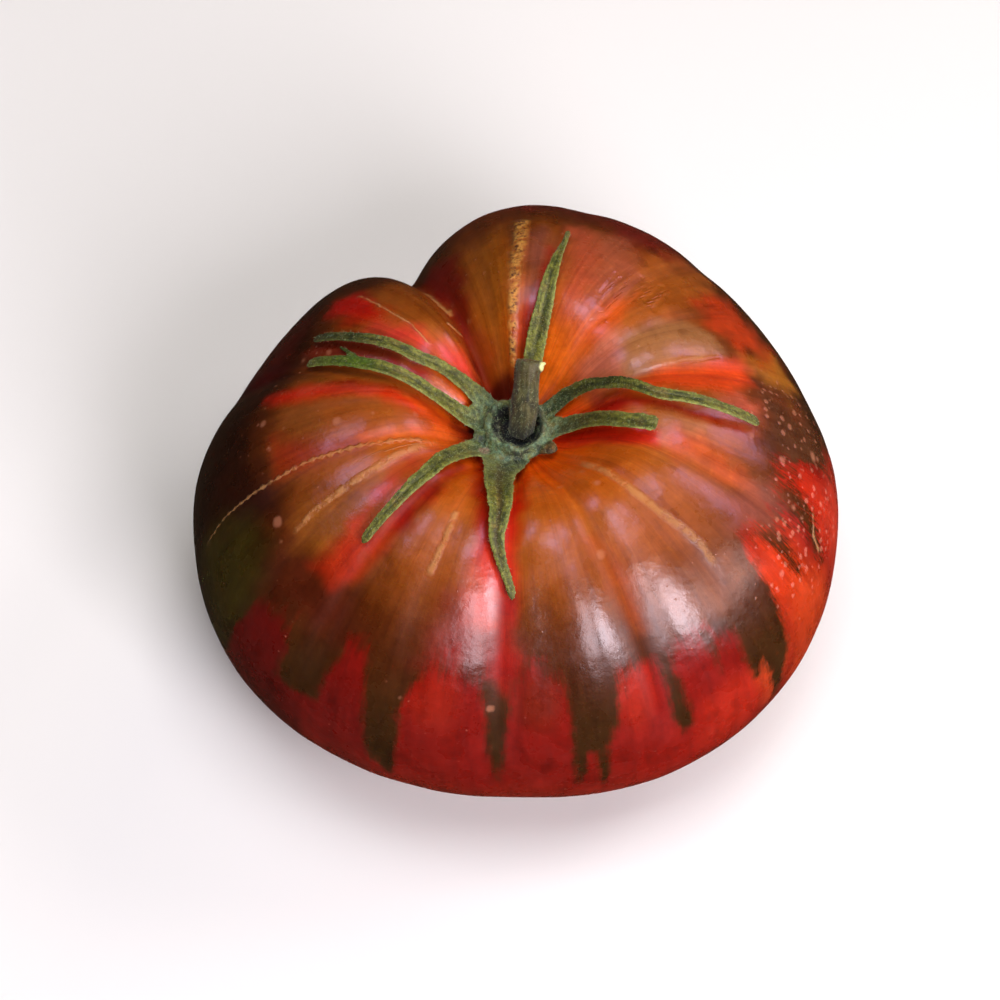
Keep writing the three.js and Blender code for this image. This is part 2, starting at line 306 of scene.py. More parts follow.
def inside_by(corners):
    """How many millimetres each skin point lies inside a drawn outline, below zero outside it."""
    outline = on_plan(*np.array(corners, float).T)
    nearest = np.full(azimuth.shape, 1e9)
    inside = np.zeros(azimuth.shape, bool)
    x, y = plan[..., 0], plan[..., 1]
    for (x1, y1), (x2, y2) in zip(outline, np.roll(outline, -1, axis=0)):
        length_squared = (x2 - x1) ** 2 + (y2 - y1) ** 2
        share = np.clip(((x - x1) * (x2 - x1) + (y - y1) * (y2 - y1)) / length_squared, 0, 1)
        away = np.hypot(x - x1 - share * (x2 - x1), y - y1 - share * (y2 - y1))
        nearest = np.minimum(nearest, away)
        crosses = (y1 > y) != (y2 > y)
        inside ^= crosses & (x < x1 + (y - y1) * (x2 - x1) / (y2 - y1 + 1e-12))
    return np.where(inside, nearest, -nearest)


# the ripe red that shows below, deeper and darker round to the left: partly the skin's own deep red, partly
# painted shade where the light falls off
ripe = through([
    (-60, rgb(150, 34, 12)), (-15, rgb(136, 24, 5)), (0, rgb(124, 12, 2)),
    (30, rgb(134, 10, 1)), (60, rgb(176, 18, 3)), (88, rgb(196, 50, 6)),
], latitude)
# azimuth, latitude, half width, half height, colour, strength
red_tones = [
    (170, -5, 40, 70, rgb(60, 7, 4), 0.95), (216, 5, 9, 50, rgb(92, 7, 4), 0.9),
    (224, 0, 6, 30, rgb(80, 6, 3), 0.8), (236, 12, 7, 40, rgb(112, 10, 4), 0.9),
    (254, 24, 6, 10, rgb(150, 28, 8), 0.7), (262, 4, 4, 14, rgb(126, 8, 2), 0.8),
    (274, 26, 6, 10, rgb(112, 28, 8), 0.8), (293, 26, 4, 12, rgb(170, 34, 12), 0.7),
    (300, 0, 12, 22, rgb(150, 16, 3), 0.6), (312, 6, 9, 14, rgb(184, 34, 10), 0.7),
    (320, 12, 4, 14, rgb(206, 70, 24), 0.8), (332, 30, 9, 16, rgb(196, 50, 8), 0.9),
    (333, 6, 10, 22, rgb(196, 60, 12), 0.8), (349, 24, 6, 20, rgb(186, 38, 11), 0.9),
    (352, 4, 12, 22, rgb(206, 58, 34), 0.7), (20, 0, 20, 40, rgb(150, 34, 14), 0.8),
    (60, -5, 30, 40, rgb(120, 20, 12), 0.8), (105, 0, 25, 40, rgb(84, 10, 8), 0.9),
]
for at, height, wide, tall, colour, strength in red_tones:
    away = np.hypot(turn_between(azimuth, at) / wide, (latitude - height) / tall)
    weight = strength * (1 - ease(0.3, 1.3, away + 0.25 * field(skin, 5.0, int(at))))
    ripe = ripe + (colour - ripe) * weight[..., None]

# the green-brown that stays on the shoulders, thin and amber near the stalk
unripe = through([
    (-60, rgb(60, 36, 10)), (0, rgb(56, 32, 6)), (20, rgb(62, 32, 6)), (34, rgb(76, 32, 6)),
    (42, rgb(90, 38, 5)), (48, rgb(116, 54, 8)), (56, rgb(144, 70, 14)), (66, rgb(160, 82, 22)),
    (74, rgb(184, 84, 14)), (80, rgb(214, 86, 4)), (88, rgb(200, 64, 2)),
], latitude)

# Areas of the shoulders that differ, among them painted shade round the left and painted
# shadows of the sepals: colour, softness and raggedness of the edge in millimetres, and an
# outline as (azimuth, latitude). Later ones lie over earlier ones.
areas = [
    # the first four darken the left side: partly its own dark colour, partly painted shade
    (rgb(40, 12, 4), 3.0, 1.2, [
        (128, -30), (130, 30), (142, 37), (150, 43), (158, 42), (169, 43), (173, 41), (180, 38),
        (191, 43), (202, 43), (205, 38), (210, 36), (213, 20), (208, -10), (180, -40)
    ]),
    (rgb(74, 8, 4), 3.0, 1.0, [(140, 10), (144, 34), (156, 36), (166, 34), (162, 5)]),
    (rgb(62, 50, 8), 2.5, 1.0, [
        (194, 22), (200, 34), (206, 36), (211, 31), (212, 14), (208, -6), (200, 2), (195, 10)
    ]),
    (rgb(80, 26, 8), 3.0, 1.0, [(212, 42), (226, 43), (234, 38), (236, 30), (226, 30), (214, 29)]),
    (rgb(128, 66, 20), 1.2, 0.8, [
        (174.8, 46), (176.2, 60.8), (180.5, 69.8), (191, 74), (193, 66), (190.8, 57.5), (184, 47)
    ]),
    (rgb(140, 42, 8), 1.2, 0.5, [(184, 45), (191, 57), (193.5, 66), (198, 66), (196, 56), (195, 45)]),
    (rgb(198, 84, 30), 0.8, 0.3, [(192.5, 64), (194, 72), (197.5, 71), (196, 65)]),
    (rgb(136, 74, 15), 2.0, 0.8, [(209, 62), (219, 57), (220, 48), (212, 43), (206, 48)]),
    # red along the left sepal's lower edge: partly the skin's own red, partly painted shadow of the sepal
    (rgb(200, 30, 6), 0.9, 0.4, [
        (171.5, 39.5), (170, 48.5), (170, 61.5), (172, 71.5), (180, 78), (188, 83), (196, 82),
        (191.8, 74.8), (185, 73), (178, 68.5), (175, 62.5), (175.5, 54), (174, 43)
    ]),
    (rgb(204, 84, 18), 1.0, 0.6, [(183, 77), (188, 81), (198, 84), (203, 78), (195, 74), (187, 73.5)]),
    (rgb(152, 74, 20), 1.0, 0.7, [
        (177, 56), (178.5, 66), (182, 73), (187, 77), (194, 76), (193, 66), (188, 58)
    ]),
    (rgb(196, 66, 44), 0.8, 0.6, [(171, 50), (170.5, 60), (172, 69), (174.5, 67), (173, 58)]),
    # painted shadow: a dark red line hugging the left sepal's lower edge
    (rgb(130, 6, 0), 0.5, 0.2, [
        (169.5, 56), (171, 70), (179, 78.5), (186, 83), (180, 80), (171.5, 74), (168, 62)
    ]),
    (rgb(184, 52, 30), 0.9, 0.5, [
        (210, 76), (218.5, 65), (220.6, 56), (221, 51), (217.5, 54), (216, 62), (210.5, 71)
    ]),
    # painted shadow of the front-left sepal: red along its right side
    (rgb(166, 32, 7), 1.2, 0.6, [
        (222, 79), (231, 68), (230, 60), (227.5, 52), (227.5, 46), (224, 41), (219, 42.5), (219, 49),
        (222.5, 54), (224, 60), (222, 70)
    ]),
    # painted shadow: the darker red strip beside the front-left sepal
    (rgb(126, 10, 2), 0.7, 0.3, [
        (224, 79), (232.5, 69), (231, 62), (228, 56), (226.5, 60), (227.5, 67)
    ]),
    (rgb(158, 40, 10), 1.4, 0.7, [(219.5, 50), (225.5, 51.5), (227, 47), (224, 43), (220, 44)]),
    # painted shadow of the front sepal: red along its left side
    (rgb(176, 14, 3), 0.7, 0.3, [
        (215, 83.2), (240, 77.6), (250.5, 69.5), (254.5, 63.5), (258.3, 58), (261.5, 51),
        (266.2, 53), (263.8, 58.8), (261, 64), (258, 69.8), (248, 79), (224, 85)
    ]),
    (rgb(200, 48, 14), 1.6, 0.7, [
        (259.5, 62), (263.5, 57), (264.5, 50), (262, 44), (258, 45), (256.5, 51), (257.5, 58)
    ]),
    (rgb(120, 34, 22), 2.4, 0.8, [(252, 50), (256, 49), (262, 45), (263, 36), (256, 32), (250, 34)]),
    # painted shadow of the front sepal: red along its right side
    (rgb(192, 20, 3), 0.8, 0.3, [
        (279, 82), (273.5, 73), (270.8, 67.5), (269, 62), (270, 54), (268.5, 45), (266, 49),
        (263.5, 60), (262, 72)
    ]),
    (rgb(150, 18, 5), 1.2, 0.5, [
        (264.5, 54), (268.5, 50), (270, 36), (268, 27), (263.5, 32), (264, 46)
    ]),
    (rgb(150, 62, 14), 1.4, 0.7, [(296, 62), (299, 60), (301, 48), (298, 40), (295.5, 46)]),
    (rgb(120, 62, 30), 1.5, 0.8, [(303, 47), (314, 48), (324, 44), (326, 36), (314, 34), (304, 37)]),
    # painted shadow: saturated red under the snapped sepal
    (rgb(190, 14, 2), 0.5, 0.15, [
        (356, 84), (354, 76), (347.5, 67.3), (340.5, 66.6), (338, 74), (338, 83), (346, 86)
    ]),
    (rgb(152, 88, 44), 1.0, 0.5, [(352, 74), (357, 66), (354, 58), (349, 60), (347.5, 66)]),
    (rgb(188, 76, 20), 1.1, 0.6, [
        (350, 64), (347.5, 57), (345.2, 50.5), (342.5, 43.5), (341, 46), (341.5, 54), (340.5, 61),
        (343, 66)
    ]),
    (rgb(130, 62, 40), 1.5, 0.8, [
        (341.5, 46), (345, 40), (344, 34), (336.8, 36), (330, 46), (336, 50)
    ]),
    # painted shadow: red between the snapped and the right sepal
    (rgb(188, 18, 4), 0.8, 0.3, [(20, 83), (10, 75), (1, 72), (355, 76), (358, 83)]),
    # painted shadow: dark red under the right sepal
    (rgb(142, 12, 3), 0.6, 0.2, [
        (18, 78), (9, 75), (4, 71.5), (358, 61), (356.6, 50), (355.2, 51), (355.5, 62), (0, 73),
        (6, 79)
    ]),
    (rgb(104, 50, 24), 2.0, 1.2, [(14, 46), (17, 34), (12, 26), (3, 28), (4, 42), (8, 45)]),
    (rgb(84, 46, 24), 1.2, 1.5, [(6.5, 42), (6, 27), (0, 17), (356, 19), (354, 37), (356.5, 44)]),
    (rgb(196, 88, 62), 1.6, 0.8, [(3, 56), (7, 50), (5, 45), (358, 48), (357.5, 54)]),
    (rgb(210, 64, 16), 0.9, 0.3, [
        (14.5, 74), (16.3, 66), (17, 57), (19.5, 42), (12, 43), (7.5, 51), (6.5, 66), (10, 76)
    ]),
    (rgb(166, 98, 22), 1.8, 1.2, [(20, 42), (24, 28), (16, 24), (12, 33)]),
    (rgb(148, 96, 54), 0.8, 0.5, [
        (40, 74), (36, 64), (33, 54), (27, 48), (20.5, 48), (18.2, 63), (16.8, 72), (22, 76),
        (31, 77)
    ]),
    (rgb(180, 92, 66), 1.4, 0.6, [(48, 77), (41, 69), (30, 71), (19, 73), (22, 78), (38, 80)]),
    (rgb(182, 54, 12), 2.2, 1.8, [(40, 46), (38, 30), (24, 28), (20, 42), (30, 47)]),
    (rgb(158, 80, 22), 2.0, 1.2, [(60, 47), (52, 30), (42, 30), (39, 48), (44, 57), (52, 55)]),
    (rgb(114, 22, 14), 3.0, 1.6, [
        (102, 30), (94, 37), (87, 38), (76, 32), (68, 42), (61, 48), (52, 36), (58, 16), (90, 12)
    ]),
    (rgb(158, 78, 50), 1.6, 1.0, [(72, 50), (63, 44), (53, 54), (47, 65), (56, 71), (64, 62)]),
    (rgb(178, 76, 46), 1.4, 0.6, [
        (77, 46), (73, 60), (71.5, 70), (67, 77), (57, 76), (60, 67), (66, 56), (71, 46)
    ]),
    (rgb(204, 82, 22), 0.8, 0.4, [(56, 73), (50, 64), (47, 59), (42.5, 66), (44, 74), (51, 76)]),
    (rgb(208, 94, 12), 1.1, 0.6, [
        (78, 82), (74, 74), (60, 74), (46, 76), (40, 80), (52, 85), (70, 85)
    ]),
    # painted shade: dark skin in the gap under the left of the cup
    (rgb(90, 12, 5), 0.7, 0.3, [(172, 80), (184, 81), (196, 82), (206, 83), (196, 86), (168, 86)]),
    (rgb(128, 66, 50), 1.1, 0.6, [(87.5, 58), (83, 50), (79, 60), (82, 72), (88.5, 72.5)]),
    # painted shadow: red beside the back sepal
    (rgb(166, 20, 4), 0.8, 0.3, [(90, 74), (82, 71), (79, 58), (77.5, 72), (80, 81), (92, 81)]),
    (rgb(146, 78, 12), 1.4, 0.7, [
        (101, 36), (94, 46), (93, 70), (96, 82), (110, 79), (110.4, 70), (106, 57), (105, 42)
    ]),
    (rgb(100, 42, 10), 2.0, 1.0, [(104, 30), (92, 32), (92, 46), (100, 50), (106.5, 43)]),
    (rgb(110, 3, 1), 1.0, 0.5, [
        (112.5, 34), (107, 46), (108.5, 58), (111, 68), (115, 80), (119, 79), (126, 74.5),
        (122, 67.8), (119, 56), (117, 40)
    ]),
    (rgb(132, 64, 12), 1.2, 0.8, [
        (118.5, 42), (124, 40), (132, 45), (135, 54), (135, 64), (131, 71), (124, 74), (120, 64)
    ]),
    (rgb(62, 25, 7), 2.0, 0.8, [(117, 34), (121, 43), (132, 45), (138, 38), (136, 26), (122, 26)]),
    (rgb(182, 8, 5), 1.4, 0.7, [
        (139, 37), (135, 44), (136.5, 52), (138, 57), (143, 57), (146, 49), (144, 40)
    ]),
    (rgb(200, 50, 38), 1.3, 0.6, [
        (142, 57), (139, 64), (136, 70), (124, 77), (122, 81), (134, 79), (143, 72), (148, 64),
        (148, 56)
    ]),
    (rgb(112, 32, 18), 1.0, 0.6, [(151, 72), (158, 70), (160, 50), (157, 42), (151, 45), (149, 60)]),
    # painted shadow: red in the slit between the back-left and the left sepal
    (rgb(160, 12, 2), 0.6, 0.3, [(152, 74), (157, 68), (159, 58), (160.5, 62), (160, 74)]),
    # painted shade: dark skin in the cavity behind the cup, between the back sepals and the stalk
    (rgb(76, 10, 5), 0.5, 0.3, [(126, 78.5), (112, 79.5), (96, 80.2), (86, 82), (86, 87), (130, 87)]),
]
area_strength = 0.9
for colour, softness, raggedness, outline in areas:
    wobble = 1.6 * raggedness * field(skin * (1, 1, 0.6), 2.2, len(outline) + int(outline[0][0]))
    weight = area_strength * ease(-1.7 * softness, 1.7 * softness, inside_by(outline) + wobble)
    unripe = unripe + (colour - unripe) * weight[..., None]

# where the green-brown stops: the height of the red tongues round the fruit, soft, and the
# drips that hang down between them with harder grainy edges
tongue_tops = [
    (0, 18), (20, 8), (60, 5), (100, 8), (150, -22), (205, -14), (210, 2), (212.5, 20), (215, 26),
    (219, 27), (226, 27), (232, 30), (236, 34), (240, 30), (246, 27), (252, 33), (256, 35),
    (262, 30), (268, 33), (273, 36), (277, 32), (285, 30), (293, 30), (298, 30), (304, 34),
    (314, 29), (320, 30), (326, 33), (330, 43), (334, 41), (338, 35), (344, 35), (350, 36.5),
    (354, 37), (356, 28), (357.5, 19), (360, 18),
]
top_softness = 0.3
drips = [
    [
        (220, 36), (221, 29), (223, 19.5), (222.6, 11), (226, 9.3), (231.8, 11.5), (232.2, 21.5),
        (233.5, 28), (233.5, 36)
    ],
    [
        (237, 37), (238.3, 31), (240.8, 18), (242, 4), (243.2, -1.5), (244.2, 0.5), (245, -3),
        (246.4, -6.5), (247.2, 0), (248, 8.8), (247.6, 20), (247.8, 24), (250, 30), (252.5, 37)
    ],
    [
        (261.5, 32), (263.4, 22), (264.1, 10), (265.2, 3), (266.2, -2), (267.2, 2), (267.4, 8),
        (267.8, 20), (269.5, 32)
    ],
    [
        (276, 37), (279.3, 30), (279.8, 23), (280, 9.5), (280.4, 0), (281.2, -3), (282, 1),
        (282.6, 9), (283.9, 9), (284.5, 2), (285.5, -5), (286.5, 0), (286.5, 10), (288.8, 18),
        (289.4, 22), (290.4, 30), (292, 37)
    ],
    [
        (297.5, 40), (298.4, 32), (298.9, 21), (298.8, 12.5), (300.5, 6.5), (302.7, 9), (302.1, 18),
        (301.8, 28), (302.6, 34), (303.5, 40)
    ],
    [(308, 35), (309, 27), (309.8, 20.5), (310.8, 27), (311.4, 35)],
    [
        (312, 38), (315, 27), (314.9, 16), (315.4, 11), (316.8, 12), (318, 15.5), (319.4, 6),
        (320.8, -6), (322.5, 1), (323.6, 8), (325, 12), (326.2, 24), (327, 32), (328, 38)
    ],
    [(332, 42), (339, 37), (338, 33), (336.5, 29.5), (334.3, 22.5), (333.4, 26), (333.8, 33)],
    [
        (343, 42), (349, 37), (348, 30.2), (346.3, 26), (345, 22), (341.2, 15.5), (341, 20),
        (342.6, 26), (342.8, 33)
    ],
    [
        (8, 30), (4, 24), (6, 6), (9, -3), (10.5, -9), (12, -4), (13, 3), (16, 12), (22, 20),
        (25, 2), (27.5, -6), (28.5, -13), (30, -5), (32, 12), (40, 16), (43.5, 4), (45, -6),
        (46.5, 2), (46, 20), (20, 34)
    ],
    [
        (62, 20), (62.5, 4), (64, -8), (65.5, -17), (67.5, -9), (69, 0), (72, 10), (78, 10), (80, 2),
        (81.5, -9), (83, -3), (86, 14), (92, 14), (94, 0), (96, -10), (97.5, -17), (99.5, -7),
        (101, 2), (104, 16), (84, 26)
    ],
]
top_height = np.interp(azimuth, [a for a, _ in tongue_tops], [b for _, b in tongue_tops])
grainy_edge = 0.8 * field(skin * (1, 1, 0.4), 2.4, 11)
brown_by = plan_per_degree * top_softness * (latitude - top_height) + grainy_edge
for outline in drips:
    brown_by = np.maximum(brown_by, np.minimum(inside_by(outline) + 0.35 * field(skin, 1.5, 12), 1.5))


# marks that follow a line over the skin
def line_over_skin(points, step=0.3):
    """Points every step millimetres along a smooth line through (azimuth, latitude) points."""
    at = np.array([p[0] for p in points], float)
    high = np.array([p[1] for p in points], float)
    t = np.linspace(0, len(points) - 1, 40 * (len(points) - 1) + 1)
    line = skin_point(np.interp(t, range(len(points)), at), np.interp(t, range(len(points)), high))
    walked = np.concatenate([[0], np.cumsum(np.linalg.norm(np.diff(line, axis=0), axis=1))])
    even = np.arange(0, walked[-1], step)
    return np.stack([np.interp(even, walked, line[:, k]) for k in range(3)], -1), even


# each mark: half width at its two ends, how corky, how much of a crease, and its line
marks = {
    "stitched_scar": (0.42, 0.16, 0.0, 0.0, [
        (204, 79), (200.5, 74), (199, 69), (197, 64), (196, 59.5), (195, 54.8), (194.8, 50.8),
        (194.8, 42.5), (194.8, 37.5), (195, 31.5), (195, 26), (195.5, 21), (195.5, 15)
    ]),
    "left_streak": (0.8, 0.5, 0.0, 0.0, [
        (205, 76), (206.2, 72.8), (207.8, 65.5), (208, 58.5), (208.2, 50.5), (209.2, 43)
    ]),
    "short_dash": (0.55, 0.65, 0.0, 0.0, [(243.8, 68), (244.8, 61.8), (244.5, 53.2)]),
    "right_streak": (0.6, 0.8, 0.0, 0.0, [
        (319.3, 79), (318, 68), (319.3, 60.5), (321, 52.7), (321.3, 48), (320, 43)
    ]),
    "cork_scar": (0.45, 1.95, 1.0, 0.0, [
        (94.2, 81), (93, 75.2), (91.8, 69.5), (90.8, 62.8), (89.7, 57), (89.5, 45)
    ]),
    "rib_scar": (0.2, 0.3, 0.3, 0.0, [
        (139, 71.2), (139.8, 70), (137.5, 64.5), (137.8, 59.8), (136.8, 52.2), (136, 43.5)
    ]),
    "cleft_scar": (0.5, 0.75, 0.4, 0.0, [(117.2, 62.5), (118.5, 57.2), (118.5, 52.8), (118.8, 48)]),
    "cleft_chip": (0.4, 0.55, 0.4, 0.0, [(123.2, 67.2), (121.5, 68.5), (118, 69.2)]),
    "scratch": (0.3, 0.4, 0.2, 0.0, [(347, 26), (345, 24.4), (343, 22.8), (341.8, 18)]),
    "first_wrinkle": (0.5, 0.7, 0.0, 1.0, [(55, 58.5), (54, 62.5), (53, 68)]),
    "second_wrinkle": (0.5, 0.5, 0.0, 1.0, [(57, 58.5), (56.2, 62), (55.5, 66)]),
    "third_wrinkle": (0.6, 0.8, 0.0, 1.0, [(51.4, 53), (49.5, 60), (47.5, 64.5), (46.5, 69)]),
    "fourth_wrinkle": (0.55, 0.7, 0.0, 1.0, [(48.4, 55), (46.6, 60), (45.8, 67.5), (52.2, 72)]),
    "fifth_wrinkle": (0.6, 0.6, 0.0, 1.0, [(46, 51), (45, 55), (43.5, 60)]),
    "sixth_wrinkle": (0.5, 0.6, 0.0, 1.0, [(42.5, 52.5), (41.4, 56), (38.8, 60)]),
    "tan_edge": (0.5, 0.4, 0.0, 1.0, [(15.6, 73), (17.5, 63.5), (20, 48.5)]),
}
mark_reach = 4.0
across = np.full(azimuth.shape, mark_reach)
along = np.zeros(azimuth.shape)
half_width = np.full(azimuth.shape, 0.5)
corky = np.zeros(azimuth.shape)
creased = np.zeros(azimuth.shape)
near_mark = np.zeros(azimuth.shape)
beaded = np.zeros(azimuth.shape)
closest = np.full(azimuth.shape, mark_reach)
for name, (start_half, end_half, cork_share, crease_share, points) in marks.items():
    line, walked = line_over_skin(points)
    middle = line.mean(axis=0)
    reach = np.linalg.norm(line - middle, axis=1).max() + mark_reach
    rows, columns = np.nonzero(np.linalg.norm(skin - middle, axis=-1) < reach)
    gap = skin[rows, columns][:, None] - line[None]
    distance = np.linalg.norm(gap, axis=-1)
    nearest = distance.argmin(axis=1)
    least = distance[np.arange(len(rows)), nearest]
    tangent = np.gradient(line, axis=0)[nearest]
    tangent /= np.linalg.norm(tangent, axis=1, keepdims=True)
    offset = gap[np.arange(len(rows)), nearest]
    sideways = np.cross(normals[rows, columns], tangent)
    signed = (offset * sideways).sum(axis=1)
    beyond = np.abs((offset * tangent).sum(axis=1))
    wins = least < closest[rows, columns]
    rows, columns = rows[wins], columns[wins]
    share = walked[nearest[wins]] / walked[-1]
    closest[rows, columns] = least[wins]
    across[rows, columns] = signed[wins]
    along[rows, columns] = walked[nearest[wins]]
    half_width[rows, columns] = start_half + (end_half - start_half) * share
    corky[rows, columns] = cork_share
    creased[rows, columns] = crease_share
    beaded[rows, columns] = name == "stitched_scar"
    ends = ease(0, 0.06, share) * (1 - ease(0.94, 1, share)) * (beyond[wins] < 1.0)
    near_mark[rows, columns] = (1 - ease(1.6, 3.0, least[wins])) * ends

# raised cork and pressed creases
cork_rise = 0.22
crease_depth = 0.12
on_line = np.exp(-((across / (half_width + 0.2)) ** 2))
relief = cork_rise * (0.4 + corky) * on_line * near_mark * (1 - creased)
relief -= crease_depth * creased * on_line * near_mark
skin = skin + normals * (relief * ease(40, 46, np.where(creased + corky > 0, latitude, 50)))[..., None]

# round pale specks with a place of their own: azimuth, latitude, radius
specks = [
    (204.5, 41.8, 0.9), (208.5, 40.0, 0.35), (264.5, 23.0, 0.7), (247.2, 23.8, 0.35),
    (243.8, 27, 0.2), (296.6, 76, 0.5), (312.5, 76.3, 0.5), (310.5, 72, 0.6), (296.3, 58.5, 0.8),
    (185.8, 60.5, 0.75), (185.2, 67.5, 0.4), (182.5, 48.2, 0.3), (186.8, 44.5, 0.5),
    (178.8, 41.8, 0.7), (184.2, 75, 0.5), (191.5, 75, 0.5), (108, 59.2, 0.3), (115, 59.5, 0.25),
    (112.8, 61.8, 0.15), (106.8, 75.2, 0.25), (111.8, 41, 0.25), (133.5, 45, 0.2),
    (344.5, 32.8, 0.5), (352.8, 39.2, 0.7), (358.5, 27.5, 0.9), (356.5, 26, 0.4), (3.8, 37.8, 0.4),
    (331, 28.8, 0.6), (355.2, 48, 0.5), (156.8, 49.8, 0.6), (158.8, 42.5, 0.5), (58.2, 79.5, 0.3),
    (45.8, 77.8, 0.3), (39, 77.5, 0.25), (77, 60, 0.2),
]
speck_reach = 5.0
from_speck = np.full(azimuth.shape, speck_reach)
for at, height, radius in specks:
    centre = skin_point(at, height)
    from_speck = np.minimum(from_speck, np.linalg.norm(skin - centre, axis=-1) - radius)

# furrows hold dust and wax, so they shine less than the ribs, and shallow ones hold less
dull_half_width = 2.4
dullest_from_depth = 2.2
dulled = np.zeros(azimuth.shape)
for at, depth, before, after, lowest in furrows:
    in_furrow = np.exp(-((turn_between(azimuth, at) / dull_half_width) ** 2))
    in_furrow *= min(depth / dullest_from_depth, 1)
    dulled = np.maximum(dulled, in_furrow * ease(lowest, lowest + 20, latitude))

# how thickly the skin is freckled: azimuth, latitude, half width, half height, share of cells
freckled_areas = [
    (345, 26, 24, 22, 1.0), (5, 30, 16, 22, 1.0), (172, 46, 26, 18, 0.45),
    (102, 56, 14, 20, 0.5), (60, 55, 40, 25, 0.3), (222, 12, 20, 30, 0.2),
]
freckled_elsewhere = 0.16
freckled = np.full(azimuth.shape, freckled_elsewhere)
for at, height, wide, tall, strength in freckled_areas:
    away = np.hypot(turn_between(azimuth, at) / wide, (latitude - height) / tall)
    freckled = np.maximum(freckled, strength * (1 - ease(0.4, 1.2, away)))


def mesh_of(name, points, faces):
    mesh = bpy.data.meshes.new(name)
    mesh.from_pydata([tuple(p) for p in points], [], faces)
    mesh.update()
    for polygon in mesh.polygons:
        polygon.use_smooth = True
    piece = bpy.data.objects.new(name, mesh)
    bpy.context.collection.objects.link(piece)
    return piece


def paint(piece, name, values):
    """Stores one number or one colour for each vertex under a name that the material reads."""
    values = np.asarray(values, np.float32)
    if values.ndim == 1:
        piece.data.attributes.new(name, "FLOAT", "POINT").data.foreach_set("value", values)
        return
    colour = np.concatenate([values, np.ones((len(values), 1), np.float32)], axis=1)
    piece.data.attributes.new(name, "FLOAT_COLOR", "POINT").data.foreach_set("color", colour.ravel())


def grid_faces(rows, columns):
    """Quads of a grid that is closed round its columns."""
    i, j = np.meshgrid(np.arange(rows - 1), np.arange(columns), indexing="ij")
    a = i * columns + j
    b = i * columns + (j + 1) % columns
    quads = np.stack([a, b, b + columns, a + columns], -1).reshape(-1, 4)
    return [tuple(int(v) for v in quad) for quad in quads]


def shell_faces(rows, columns, first=0):
    """Faces of a closed tube of rings, whose two ends are fans round the last two points."""
    faces = grid_faces(rows, columns)
    start = rows * columns
    top = (rows - 1) * columns
    for j in range(columns):
        k = (j + 1) % columns
        faces.append((start, k, j))
        faces.append((start + 1, top + j, top + k))
    return [tuple(v + first for v in face) for face in faces]


# the blossom scar, a small corky dimple in the middle of the flat spot
scar_radius = 2.2
scar_depth = 0.7
under_radii = [1.0, 1.8, 2.6, 3.4, 4.6, 6.2, 8.2, 10.5]
angles = np.radians(azimuth[0])
under = []
for r in under_radii:
    z = scar_depth * (1 - ease(0, scar_radius, r))
    under.append(np.stack([r * np.cos(angles), r * np.sin(angles), np.full(meridians, z)], -1))
under = np.array(under)
whole = np.concatenate([under, skin])
count = len(under)


def padded(values, fill=None):
    """Values of the skin carried on over the rings underneath, or a fill there."""
    first = np.repeat(values[:1], count, axis=0)
    if fill is not None:
        first = np.full_like(first, fill)
    return np.concatenate([first, values]).reshape((-1,) + values.shape[2:])


points = whole.reshape(-1, 3) + (axis_x, axis_y, 0)
low, high = (np.array(v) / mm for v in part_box("fruit"))
fit = np.minimum(1, (high - low) / (points.max(axis=0) - points.min(axis=0)))
points = points * fit
ends = [[axis_x, axis_y, scar_depth], [axis_x, axis_y, skin_point(0, 90)[2]]]
points = np.concatenate([points, ends])
fruit = mesh_of("fruit_skin", points * mm, shell_faces(len(whole), meridians))


def paint_skin(name, values, fill=None):
    flat = padded(values, fill)
    paint(fruit, name, np.concatenate([flat, flat[:1], flat[-1:]]))


paint_skin("ripe", ripe)
paint_skin("unripe", unripe)
paint_skin("brown_by", brown_by)
paint_skin("across", across, mark_reach)
paint_skin("along", along)
paint_skin("half_width", half_width)
paint_skin("near_mark", near_mark, 0)
paint_skin("corky", corky, 0)
paint_skin("creased", creased, 0)
paint_skin("beaded", beaded, 0)
paint_skin("from_speck", from_speck, speck_reach)
paint_skin("freckled", freckled)
paint_skin("dulled", dulled, 0)


